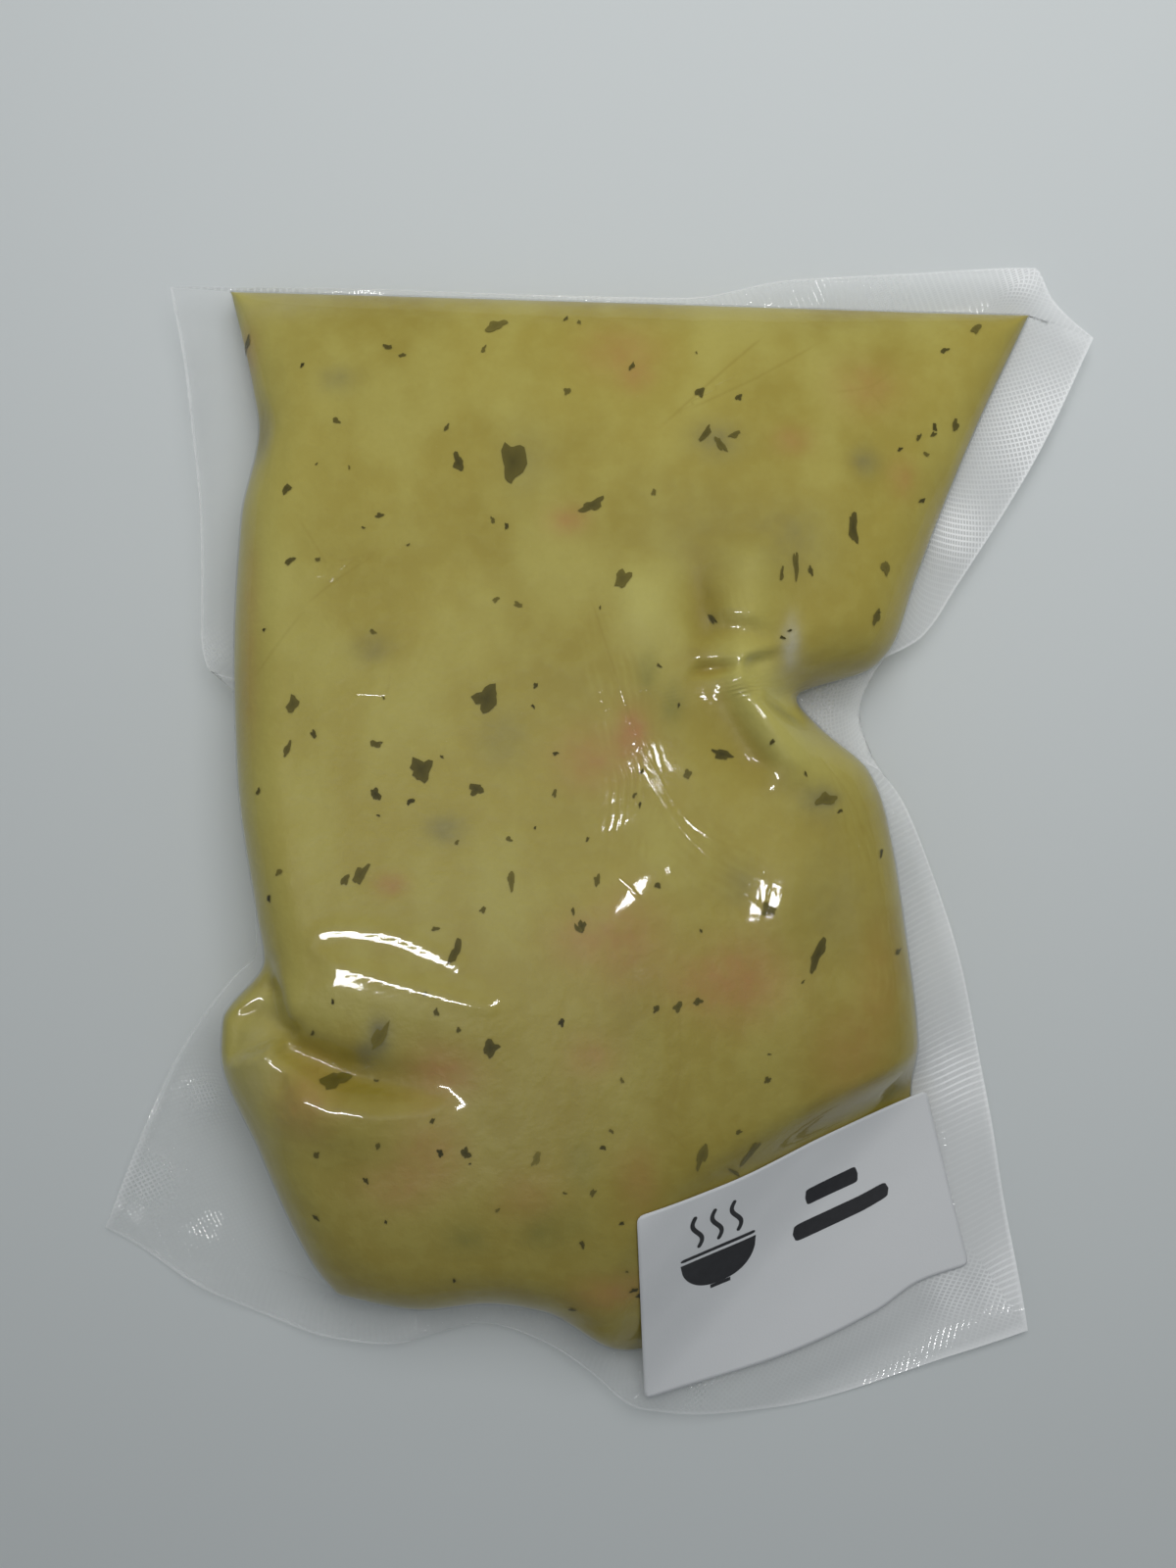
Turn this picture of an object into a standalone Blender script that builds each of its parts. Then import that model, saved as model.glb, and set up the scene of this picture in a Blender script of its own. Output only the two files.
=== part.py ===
"""Chilled chowder in a clear heat-sealed pouch, lying on its back, with a plain label on one corner.

Metres, +Z up. The pouch lies on the plane z = 0 with its folded top end towards +Y.
The origin is at the bottom centre of the whole pouch.
"""

import math

import bmesh
import bpy
import numpy as np
from mathutils.kdtree import KDTree

# The filled part of the pouch, seen from above, as four sides. Left and right run from the
# folded top end down, top and bottom run from left to right.
FILL_LEFT = [
    (-0.0790, 0.1190), (-0.0733, 0.0960), (-0.0720, 0.0880), (-0.0755, 0.0690), (-0.0767, 0.0420),
    (-0.0757, 0.0150), (-0.0712, -0.0150), (-0.0698, -0.0235), (-0.0785, -0.0360),
    (-0.0790, -0.0430), (-0.0715, -0.0640), (-0.0605, -0.0885), (-0.0550, -0.0955),
]
FILL_RIGHT = [
    (0.0935, 0.1140), (0.0815, 0.0890), (0.0678, 0.0556), (0.0634, 0.0430), (0.0585, 0.0373),
    (0.0423, 0.0311), (0.0464, 0.0259), (0.0576, 0.0160), (0.0612, 0.0070), (0.0649, -0.0150),
    (0.0685, -0.0500), (0.0680, -0.0685),
]
FILL_TOP = [(-0.0790, 0.1190), (-0.0020, 0.1165), (0.0935, 0.1140)]
FILL_BOTTOM = [
    (-0.0550, -0.0955), (-0.0370, -0.0985), (-0.0225, -0.0970), (-0.0120, -0.0985),
    (0.0090, -0.1090), (0.0245, -0.1075), (0.0530, -0.0935), (0.0620, -0.0830), (0.0680, -0.0685),
]

# The film, whose empty margins stand out round the filling. Beside the two notches the margin
# is tucked under, so its edge runs inside the filling there.
FILM_LEFT = [
    (-0.0910, 0.1190), (-0.0880, 0.1000), (-0.0850, 0.0720), (-0.0846, 0.0445), (-0.0830, 0.0375),
    (-0.0728, 0.0340), (-0.0724, -0.0227), (-0.0774, -0.0280), (-0.0910, -0.0465),
    (-0.1070, -0.0835),
]
FILM_RIGHT = [
    (0.1070, 0.1090), (0.0950, 0.0840), (0.0773, 0.0552), (0.0699, 0.0446), (0.0605, 0.0395),
    (0.0404, 0.0316), (0.0530, 0.0189), (0.0600, 0.0162), (0.0680, 0.0045), (0.0796, -0.0296),
    (0.0878, -0.0717), (0.0940, -0.1060),
]
FILM_TOP = [
    (-0.0910, 0.1190), (-0.0790, 0.1198), (0.0192, 0.1175), (0.0414, 0.1211), (0.0942, 0.1238),
    (0.0983, 0.1173), (0.1070, 0.1090),
]
FILM_BOTTOM = [
    (-0.1070, -0.0835), (-0.0818, -0.0984), (-0.0574, -0.1072), (-0.0446, -0.1084),
    (-0.0253, -0.1035), (-0.0104, -0.1080), (0.0097, -0.1217), (0.0234, -0.1238),
    (0.0388, -0.1230), (0.0794, -0.1106), (0.0940, -0.1060),
]

# Height of the filling's upper face. Rows run from the top end down, columns from left to right.
HEIGHT_ROWS = [0.1190, 0.0865, 0.0430, 0.0105, -0.0290, -0.0660, -0.0985]
HEIGHT_COLUMNS = [-0.0770, -0.0400, -0.0025, 0.0350, 0.0720]
HEIGHTS = [
    (0.0120, 0.0130, 0.0130, 0.0120, 0.0110),
    (0.0180, 0.0210, 0.0215, 0.0200, 0.0150),
    (0.0220, 0.0250, 0.0258, 0.0250, 0.0190),
    (0.0242, 0.0263, 0.0270, 0.0255, 0.0210),
    (0.0262, 0.0278, 0.0286, 0.0265, 0.0230),
    (0.0200, 0.0265, 0.0280, 0.0230, 0.0130),
    (0.0140, 0.0190, 0.0200, 0.0120, 0.0080),
]
# The film lies this much higher than the filling.
FILM_OVER = 0.0004
WIDEST_SHARE = 0.38
SHOULDER = 0.013
RELIEF_EDGE = 0.006
CORNER_SHARPNESS = 3.0
UNDERSIDE_ROUNDING = 0.008

# Folds of the film over the filling: a route from above, half width on its left and on its
# right, height, and the share of the route that each end fades over. Below zero is a valley.
FOLDS = {
    "tongue": (
        [(0.0264, 0.0470), (0.0303, 0.0344), (0.0345, 0.0270), (0.0390, 0.0198), (0.0475, 0.0095)],
        (0.0052, 0.0046), 0.0038, (0.33, 0.50),
    ),
    "tongue_back": (
        [(0.0312, 0.0640), (0.0306, 0.0520), (0.0290, 0.0430)],
        (0.0060, 0.0060), 0.0022, (0.30, 0.20),
    ),
    "tongue_valley": (
        [(0.0200, 0.0370), (0.0240, 0.0290), (0.0295, 0.0200), (0.0355, 0.0130)],
        (0.0030, 0.0060), -0.0015, (0.75, 0.22),
    ),
    "waist_valley": (
        [(0.0176, 0.0620), (0.0200, 0.0500), (0.0225, 0.0400)],
        (0.0036, 0.0030), -0.0013, (0.60, 0.15),
    ),
    "waist_bulge": (
        [(0.0080, 0.0620), (0.0085, 0.0480), (0.0100, 0.0360)],
        (0.0070, 0.0055), 0.0007, (0.40, 0.50),
    ),
    "shelf": (
        [(-0.0600, -0.0240), (-0.0500, -0.0270), (-0.0380, -0.0295), (-0.0140, -0.0350)],
        (0.0065, 0.0070), 0.0009, (0.20, 0.45),
    ),
    "left_fold": (
        [(-0.0655, -0.0385), (-0.0590, -0.0420), (-0.0500, -0.0455), (-0.0230, -0.0490)],
        (0.0052, 0.0016), -0.0044, (0.08, 0.70),
    ),
    "lower_lobe": (
        [(-0.0640, -0.0470), (-0.0500, -0.0530), (-0.0220, -0.0570)],
        (0.0050, 0.0080), 0.0034, (0.15, 0.85),
    ),
    "bulge_low": (
        [(0.0150, 0.0050), (0.0106, -0.0031), (0.0025, -0.0136), (-0.0040, -0.0240)],
        (0.0060, 0.0060), 0.0004, (0.40, 0.40),
    ),
    "bulge_right": (
        [(0.0440, 0.0060), (0.0390, -0.0080), (0.0340, -0.0260)],
        (0.0060, 0.0060), 0.0008, (0.40, 0.40),
    ),
}
# Places where the filling drops to one side: a route whose left-hand side, seen along it,
# is the low one, the drop, and how far the low ground reaches.
STEPS = {
    "left_overhang": ([(-0.0605, -0.0385), (-0.0640, -0.0300), (-0.0680, -0.0205)], -0.0060, 0.0200),
    "tongue_edge": ([(0.0290, 0.0390), (0.0303, 0.0344), (0.0371, 0.0276), (0.043, 0.0262)], -0.0045, 0.0060),
}
STEP_SOFTNESS = 0.0025
STEP_FADES = (0.12, 0.12)
SIDE_SOFTNESS = 0.0010
FOLD_SIGHT = 3.0
LUMP_COUNT = 46
LUMP_RADIUS = (0.006, 0.012)
LUMP_HEIGHT = 0.0004
LUMP_SEED = 469

# The label, stuck down over the lower right corner: its edges from above, and its height along
# the slope that it follows.
LABEL_TOP = [(0.0079, -0.0732), (0.0297, -0.0674), (0.0474, -0.0608), (0.0706, -0.0525)]
LABEL_BOTTOM = [
    (0.0103, -0.1187), (0.0390, -0.1105), (0.0603, -0.1007), (0.0695, -0.0944), (0.0804, -0.0907),
]
LABEL_SLOPE_WAY = (0.745, -0.667)
LABEL_RUN = [-0.040, -0.010, 0.0, 0.010, 0.022, 0.033, 0.045, 0.066, 0.090]
LABEL_HEIGHTS = [0.0280, 0.0275, 0.0260, 0.0205, 0.0120, 0.0066, 0.0050, 0.0042, 0.0038]
LABEL_THICK = 0.0004
LABEL_GAP = 0.0004
LABEL_REACH = 0.012

MARGIN_THICK = 0.0010
MARGIN_CORNERS = {"top_left": 0.0070, "top_right": 0.0050, "bottom_left": 0.0012, "bottom_right": 0.0012}
MARGIN_FALL = 0.007
MARGIN_WAVE = 0.0007
MARGIN_WAVE_LENGTH = 0.045
LOWEST_MARGIN = 0.0002

BOW_FADE = 4
FILL_GRID = (44, 56)
MARGIN_GRID = (30, 40)
LABEL_GRID = (16, 9)
EDGE_SAMPLES = 220
ROUTE_SAMPLES = 80
SLIVER = 1e-6


def smooth_line(knots, values, at):
    """A curve through the knots that doesn't overshoot them, read at the places asked for.

    The values are one number for each knot, or one row for each knot with a number for each place.
    """
    knots, values = np.asarray(knots, float), np.asarray(values, float)
    if knots[0] > knots[-1]:
        knots, values = knots[::-1], values[::-1]
    if values.ndim == 1:
        values = np.repeat(values[:, None], len(at), 1)
    widths = np.diff(knots)
    slopes = np.diff(values, axis=0) / widths[:, None]
    tangents = np.concatenate([slopes[:1], np.zeros_like(slopes[1:]), slopes[-1:]])
    steady = slopes[:-1] * slopes[1:] > 0
    both = slopes[:-1] + slopes[1:]
    tangents[1:-1][steady] = (2 * slopes[:-1] * slopes[1:])[steady] / both[steady]
    at = np.clip(at, knots[0], knots[-1])
    left = np.clip(np.searchsorted(knots, at, side="right") - 1, 0, len(widths) - 1)
    s = (at - knots[left]) / widths[left]
    each = np.arange(len(at))
    return (
        values[left, each] * (1 + 2 * s) * (1 - s) ** 2
        + values[left + 1, each] * s**2 * (3 - 2 * s)
        + widths[left] * tangents[left, each] * s * (1 - s) ** 2
        - widths[left] * tangents[left + 1, each] * s**2 * (1 - s)
    )


def upright_side(points, v):
    """A left or right side at the shares v of its way down."""
    xs, ys = np.array(points).T
    y = ys[0] + (ys[-1] - ys[0]) * v
    return np.stack([smooth_line(ys, xs, y), y], -1)


def level_side(points, u):
    """A top or bottom side at the shares u of its way across."""
    xs, ys = np.array(points).T
    x = xs[0] + (xs[-1] - xs[0]) * u
    return np.stack([x, smooth_line(xs, ys, x)], -1)


def patch(left, right, top, bottom, u, v):
    """Places inside four sides, at shares u across and v down."""
    between = upright_side(left, v) * (1 - u[:, None]) + upright_side(right, v) * u[:, None]
    for side, corners, share in ((top, (left[0], right[0]), 1 - v), (bottom, (left[-1], right[-1]), v)):
        start, end = np.array(corners)
        bow = level_side(side, u) - (start + (end - start) * u[:, None])
        between = between + bow * (share**BOW_FADE)[:, None]
    return between


def closed_edge(left, right, top, bottom):
    """The four sides as one closed run of points, anticlockwise from the top left corner."""
    t = np.linspace(0, 1, EDGE_SAMPLES, endpoint=False)
    return np.concatenate([
        upright_side(left, t),
        level_side(bottom, t),
        upright_side(right, 1 - t),
        level_side(top, 1 - t),
    ])


def distance_to(edge, places):
    """Distance from each place to a closed run of points, and the nearest point's number."""
    tree = KDTree(len(edge))
    for i, (x, y) in enumerate(edge):
        tree.insert((x, y, 0), i)
    tree.balance()
    nearest = np.array([tree.find((x, y, 0))[1] for x, y in places])
    found = np.full(len(places), np.inf)
    for step in (-1, 1):
        a, b = edge[nearest], edge[(nearest + step) % len(edge)]
        along = b - a
        share = np.sum((places - a) * along, 1) / np.maximum(np.sum(along**2, 1), 1e-12)
        foot = a + along * np.clip(share, 0, 1)[:, None]
        found = np.minimum(found, np.hypot(*(places - foot).T))
    return found, nearest


def soft_distance(places):
    """Distance in from the filling's four sides, rounded where two sides are as near."""
    t = np.linspace(0, 1, EDGE_SAMPLES)
    total = np.zeros(len(places))
    for side in (
        upright_side(FILL_LEFT, t), upright_side(FILL_RIGHT, t), level_side(FILL_TOP, t),
        level_side(FILL_BOTTOM, t),
    ):
        there_and_back = np.concatenate([side, side[-2:0:-1]])
        total += np.maximum(distance_to(there_and_back, places)[0], 1e-6) ** -CORNER_SHARPNESS
    return total ** (-1 / CORNER_SHARPNESS)


def inside(edge, places):
    """True for each place inside a closed run of points."""
    within = np.zeros(len(places), bool)
    x, y = places.T
    for (x0, y0), (x1, y1) in zip(edge, np.roll(edge, -1, axis=0)):
        if y0 != y1:
            crossed = (y0 > y) != (y1 > y)
            within ^= crossed & (x < (x1 - x0) * (y - y0) / (y1 - y0) + x0)
    return within


def eased(t):
    """0 to 1 with soft ends."""
    t = np.clip(t, 0, 1)
    return t * t * (3 - 2 * t)


def quarter_round(distance, radius):
    """0 at an edge and 1 beyond the radius, as a quarter of a circle rises."""
    return np.sqrt(1 - (1 - np.clip(distance / radius, 0, 1)) ** 2)


def plain_height(places):
    """Height of the filling's upper face before its folds."""
    rows = [smooth_line(HEIGHT_COLUMNS, row, places[:, 0]) for row in HEIGHTS]
    return smooth_line(HEIGHT_ROWS, rows, places[:, 1])


def label_height(places):
    """Height of the surface that the label follows."""
    run = (places - np.array(LABEL_TOP[0])) @ np.array(LABEL_SLOPE_WAY)
    return smooth_line(LABEL_RUN, LABEL_HEIGHTS, run)


def label_cover(places):
    """1 under the label, falling to 0 at its reach beyond the edges."""
    edge = label_edge()
    away, _ = distance_to(edge, places)
    return np.where(inside(edge, places), 1.0, 1 - eased(away / LABEL_REACH))


def label_edge():
    """The label's outline from above."""
    t = np.linspace(0, 1, EDGE_SAMPLES, endpoint=False)
    top, bottom = level_side(LABEL_TOP, t), level_side(LABEL_BOTTOM, t)
    left = top[0] + (np.array(LABEL_BOTTOM[0]) - top[0]) * t[:, None]
    right = np.array(LABEL_TOP[-1]) + (np.array(LABEL_BOTTOM[-1]) - np.array(LABEL_TOP[-1])) * t[:, None]
    return np.concatenate([left, bottom, right[::-1], top[::-1]])


def nearest_on(places, route):
    """For each place: distance to a curved route, share along it, and which side it lies on."""
    route = np.array(route)
    reach = np.concatenate(([0], np.cumsum(np.hypot(*np.diff(route, axis=0).T))))
    t = np.linspace(0, 1, ROUTE_SAMPLES)
    line = np.stack([smooth_line(reach, route[:, i], t * reach[-1]) for i in (0, 1)], -1)
    gap = np.hypot(places[:, None, 0] - line[None, :, 0], places[:, None, 1] - line[None, :, 1])
    nearest = gap.argmin(1)
    way = np.gradient(line, axis=0)[nearest]
    off = places - line[nearest]
    across = (way[:, 0] * off[:, 1] - way[:, 1] * off[:, 0]) / np.hypot(*way.T)
    return gap.min(1), t[nearest], across


def close_by(places, route, reach):
    """True for each place within the reach of a route's own box."""
    low, high = np.min(route, 0) - reach, np.max(route, 0) + reach
    return np.all((places > low) & (places < high), 1)


def end_fade(share, fades):
    """1 along the middle of a route and 0 at its ends, with a share for each to rise or fall over."""
    return eased(share / fades[0]) * eased((1 - share) / fades[1])


def fold_profile(places, route, half_widths, fades):
    """A soft ridge of height 1 along a route, with a half width for its left and one for its right."""
    profile = np.zeros(len(places))
    near = close_by(places, route, FOLD_SIGHT * max(half_widths))
    gap, share, across = nearest_on(places[near], route)
    left = 0.5 + 0.5 * np.tanh(across / SIDE_SOFTNESS)
    width = half_widths[1] + (half_widths[0] - half_widths[1]) * left
    profile[near] = end_fade(share, fades) * np.exp(-((gap / width) ** 2))
    return profile


def step_profile(places, route, reach):
    """A step of height 1 on the left-hand side of a route, easing back to nothing at its reach."""
    profile = np.zeros(len(places))
    near = close_by(places, route, FOLD_SIGHT * reach)
    gap, share, across = nearest_on(places[near], route)
    low = 0.5 + 0.5 * np.tanh(np.sign(across) * gap / STEP_SOFTNESS)
    profile[near] = low * end_fade(share, STEP_FADES) * np.exp(-((gap / reach) ** 2))
    return profile


def lumps(places):
    """Low bumps where pieces of vegetable push the film up."""
    rng = np.random.default_rng(LUMP_SEED)
    total = np.zeros(len(places))
    for _ in range(LUMP_COUNT):
        centre = np.array([rng.uniform(-0.07, 0.07), rng.uniform(-0.095, 0.11)])
        radius, height = rng.uniform(*LUMP_RADIUS), rng.uniform(-0.5, 1.0) * LUMP_HEIGHT
        total += height * np.exp(-(np.hypot(*(places - centre).T) / radius) ** 2)
    return total


def fill_heights(places, away):
    """Upper and lower heights of the filling, whose faces meet at its widest line."""
    cover = label_cover(places)
    crest = plain_height(places) + FILM_OVER
    relief = lumps(places)
    for route, half_widths, height, fades in FOLDS.values():
        relief = relief + height * fold_profile(places, route, half_widths, fades)
    for route, drop, reach in STEPS.values():
        relief = relief + drop * step_profile(places, route, reach)
    crest = crest + relief * (1 - cover) * eased(away / RELIEF_EDGE)
    under_label = label_height(places) - LABEL_GAP
    crest = crest - cover * np.maximum(crest - under_label, 0)
    widest = WIDEST_SHARE * crest
    upper = widest + (crest - widest) * quarter_round(away, SHOULDER)
    lower = widest * (1 - quarter_round(away, UNDERSIDE_ROUNDING))
    return upper, lower, widest


def closer_to_edges(t):
    """Moves evenly spaced shares towards both ends, where the surface turns down."""
    return 0.2 * t + 0.8 * (0.5 - 0.5 * np.cos(math.pi * t))


def grid_sheet(cells, closeness):
    """A flat grid and the shares across and down of each of its corners."""
    sheet = bmesh.new()
    bmesh.ops.create_grid(sheet, x_segments=cells[0], y_segments=cells[1], size=0.5)
    sheet.verts.ensure_lookup_table()
    flat = np.array([vert.co[:2] for vert in sheet.verts])
    return sheet, closeness(np.clip(flat[:, 0] + 0.5, 0, 1)), closeness(np.clip(0.5 - flat[:, 1], 0, 1))


def close_sheets(sheet, places, upper, lower):
    """Turns a grid into a closed body between an upper and a lower height."""
    below = bmesh.ops.duplicate(sheet, geom=sheet.verts[:] + sheet.edges[:] + sheet.faces[:])
    copies = below["vert_map"]
    sheet.verts.ensure_lookup_table()
    tops = sheet.verts[: len(places)]
    for vert, (x, y), high, low in zip(tops, places, upper, lower):
        copies[vert].co = (x, y, low)
        vert.co = (x, y, high)
    bmesh.ops.reverse_faces(sheet, faces=[f for f in below["geom"] if isinstance(f, bmesh.types.BMFace)])
    rims = [edge for edge in sheet.edges if edge.is_boundary]
    bmesh.ops.bridge_loops(sheet, edges=rims)
    bmesh.ops.remove_doubles(sheet, verts=sheet.verts, dist=1e-6)
    bmesh.ops.recalc_face_normals(sheet, faces=sheet.faces)
    return sheet


def material(name, colour, roughness):
    """A plain surface finish."""
    made = bpy.data.materials.new(name)
    made.use_nodes = True
    shader = made.node_tree.nodes["Principled BSDF"]
    shader.inputs["Base Color"].default_value = (*colour, 1)
    shader.inputs["Roughness"].default_value = roughness
    shader.inputs["Metallic"].default_value = 0
    return made


def place_object(name, body, finish, collection):
    """A named object made from a bmesh."""
    mesh = bpy.data.meshes.new(name)
    body.to_mesh(mesh)
    body.free()
    mesh.shade_smooth()
    mesh.set_sharp_from_angle(angle=math.radians(50))
    made = bpy.data.objects.new(name, mesh)
    made.data.materials.append(finish)
    collection.objects.link(made)
    return made


def fill_body():
    """The filled part of the pouch."""
    sheet, u, v = grid_sheet(FILL_GRID, closer_to_edges)
    places = patch(FILL_LEFT, FILL_RIGHT, FILL_TOP, FILL_BOTTOM, u, v)
    away = soft_distance(places)
    on_rim = (np.minimum(u, v) < 1e-6) | (np.maximum(u, v) > 1 - 1e-6)
    away[on_rim] = 0
    upper, lower, _ = fill_heights(places, away)
    body = close_sheets(sheet, places, upper, lower)
    bmesh.ops.dissolve_limit(body, angle_limit=math.radians(0.5), verts=body.verts, edges=body.edges)
    return body


def rim_heights():
    """Height of the filling's widest line at each point of its outline."""
    edge = closed_edge(FILL_LEFT, FILL_RIGHT, FILL_TOP, FILL_BOTTOM)
    return fill_heights(edge, np.zeros(len(edge)))[2]


def margin_body():
    """The empty margins of film, joined through the filling."""
    sheet, u, v = grid_sheet(MARGIN_GRID, closer_to_edges)
    places = patch(FILM_LEFT, FILM_RIGHT, FILM_TOP, FILM_BOTTOM, u, v)
    edge = closed_edge(FILL_LEFT, FILL_RIGHT, FILL_TOP, FILL_BOTTOM)
    away, nearest = distance_to(edge, places)
    away[inside(edge, places)] = 0
    corners = MARGIN_CORNERS
    free = (
        corners["top_left"] * (1 - u) * (1 - v)
        + corners["top_right"] * u * (1 - v)
        + corners["bottom_left"] * (1 - u) * v
        + corners["bottom_right"] * u * v
    )
    waves = np.sin(2 * math.pi * (places[:, 0] - places[:, 1]) / MARGIN_WAVE_LENGTH)
    free = free + MARGIN_WAVE * waves * (away > 0)
    height = free + (rim_heights()[nearest] - free) * np.exp(-away / MARGIN_FALL)
    cover = label_cover(places) * (1 - np.exp(-away / MARGIN_FALL))
    under_label = label_height(places) - LABEL_GAP - MARGIN_THICK / 2
    height = height + cover * (under_label - height)
    low = np.maximum(height - MARGIN_THICK / 2, LOWEST_MARGIN)
    return close_sheets(sheet, places, low + MARGIN_THICK, low)


def label_body():
    """The label, a thin sheet bent over the corner of the filling."""
    sheet, u, v = grid_sheet(LABEL_GRID, lambda t: t)
    top, bottom = level_side(LABEL_TOP, u), level_side(LABEL_BOTTOM, u)
    places = top + (bottom - top) * v[:, None]
    low = label_height(places)
    return close_sheets(sheet, places, low + LABEL_THICK, low)


def join(target, other):
    """Fuses the other object into the target."""
    union = target.modifiers.new("union", "BOOLEAN")
    union.operation = "UNION"
    union.solver = "EXACT"
    union.object = other
    joined = bpy.data.meshes.new_from_object(target.evaluated_get(bpy.context.evaluated_depsgraph_get()))
    target.modifiers.clear()
    target.data = joined
    bpy.data.objects.remove(other)


def tidy_mesh(made):
    """Drops the slivers that joining leaves, and cuts the faces into triangles."""
    body = bmesh.new()
    body.from_mesh(made.data)
    bmesh.ops.dissolve_degenerate(body, dist=SLIVER, edges=body.edges)
    bmesh.ops.triangulate(body, faces=body.faces)
    body.to_mesh(made.data)
    body.free()


def main():
    for old in list(bpy.data.objects):
        bpy.data.objects.remove(old)
    parts = bpy.data.collections.new("chowder_pouch")
    bpy.context.scene.collection.children.link(parts)
    chowder = material("chowder_in_film", (0.30, 0.25, 0.08), 0.25)
    paper = material("label_paper", (0.80, 0.81, 0.83), 0.6)
    pouch = place_object("pouch", fill_body(), chowder, parts)
    margin = place_object("margin", margin_body(), chowder, parts)
    join(pouch, margin)
    tidy_mesh(pouch)
    place_object("label", label_body(), paper, parts)


main()
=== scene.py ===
"""Looks of a clear heat-sealed pouch of yellow chowder that lies flat, with a plain label on it.

Metres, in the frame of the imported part. The outline, the heights and the main folds are those of
the part's own source. This file adds fine creases, the film, what shows in the chowder, the seals,
the label with a generic print, and the stage.
"""

import math

import bmesh
import bpy
import numpy as np
from bpy.props import FloatProperty, FloatVectorProperty, IntProperty, PointerProperty
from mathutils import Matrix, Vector
from mathutils.bvhtree import BVHTree
from mathutils.kdtree import KDTree


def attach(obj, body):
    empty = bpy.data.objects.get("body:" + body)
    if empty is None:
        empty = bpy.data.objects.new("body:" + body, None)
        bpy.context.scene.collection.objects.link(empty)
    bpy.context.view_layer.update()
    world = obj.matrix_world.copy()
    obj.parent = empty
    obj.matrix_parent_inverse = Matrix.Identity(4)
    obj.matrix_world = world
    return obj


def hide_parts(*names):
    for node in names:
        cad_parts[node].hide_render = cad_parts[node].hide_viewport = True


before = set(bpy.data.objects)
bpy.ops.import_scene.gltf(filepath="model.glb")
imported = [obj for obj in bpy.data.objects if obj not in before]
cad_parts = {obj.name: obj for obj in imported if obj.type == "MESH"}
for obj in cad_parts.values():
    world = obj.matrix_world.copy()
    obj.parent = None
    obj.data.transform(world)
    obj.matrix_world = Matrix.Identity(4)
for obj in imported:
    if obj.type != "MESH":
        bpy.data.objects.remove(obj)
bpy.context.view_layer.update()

bl_info = {
    "name": "Chowder pouch",
    "version": (1, 0, 0),
    "blender": (4, 5, 0),
    "location": "View3D > Sidebar > Pouch",
    "description": "Builds a clear sealed pouch of chowder with its film, filling, herbs and label",
    "category": "Object",
}

# The filled part of the pouch from above. Left and right run from the folded top end down, top and
# bottom run from left to right.
FILL_LEFT = [
    (-0.0790, 0.1190), (-0.0733, 0.0960), (-0.0720, 0.0880), (-0.0755, 0.0690), (-0.0767, 0.0420),
    (-0.0757, 0.0150), (-0.0712, -0.0150), (-0.0698, -0.0235), (-0.0785, -0.0360),
    (-0.0790, -0.0430), (-0.0715, -0.0640), (-0.0605, -0.0885), (-0.0550, -0.0955),
]
FILL_RIGHT = [
    (0.0935, 0.1140), (0.0815, 0.0890), (0.0678, 0.0556), (0.0634, 0.0430), (0.0585, 0.0373),
    (0.0423, 0.0311), (0.0464, 0.0259), (0.0576, 0.0160), (0.0612, 0.0070), (0.0649, -0.0150),
    (0.0685, -0.0500), (0.0680, -0.0685),
]
FILL_TOP = [(-0.0790, 0.1190), (-0.0020, 0.1165), (0.0935, 0.1140)]
FILL_BOTTOM = [
    (-0.0550, -0.0955), (-0.0370, -0.0985), (-0.0225, -0.0970), (-0.0120, -0.0985),
    (0.0090, -0.1090), (0.0245, -0.1075), (0.0530, -0.0935), (0.0620, -0.0830), (0.0680, -0.0685),
]
FILL = (FILL_LEFT, FILL_RIGHT, FILL_TOP, FILL_BOTTOM)

# The film's own outline, whose empty margins stand out round the filling.
FILM_LEFT = [
    (-0.0910, 0.1190), (-0.0880, 0.1000), (-0.0850, 0.0720), (-0.0846, 0.0445), (-0.0830, 0.0375),
    (-0.0728, 0.0340), (-0.0724, -0.0227), (-0.0774, -0.0280), (-0.0910, -0.0465),
    (-0.1070, -0.0835),
]
FILM_RIGHT = [
    (0.1070, 0.1090), (0.0950, 0.0840), (0.0773, 0.0552), (0.0699, 0.0446), (0.0605, 0.0395),
    (0.0404, 0.0316), (0.0530, 0.0189), (0.0600, 0.0162), (0.0680, 0.0045), (0.0796, -0.0296),
    (0.0878, -0.0717), (0.0940, -0.1060),
]
FILM_TOP = [
    (-0.0910, 0.1190), (-0.0790, 0.1198), (0.0192, 0.1175), (0.0414, 0.1211), (0.0942, 0.1238),
    (0.0983, 0.1173), (0.1070, 0.1090),
]
FILM_BOTTOM = [
    (-0.1070, -0.0835), (-0.0818, -0.0984), (-0.0574, -0.1072), (-0.0446, -0.1084),
    (-0.0253, -0.1035), (-0.0104, -0.1080), (0.0097, -0.1217), (0.0234, -0.1238),
    (0.0388, -0.1230), (0.0794, -0.1106), (0.0940, -0.1060),
]
FILM = (FILM_LEFT, FILM_RIGHT, FILM_TOP, FILM_BOTTOM)

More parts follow.
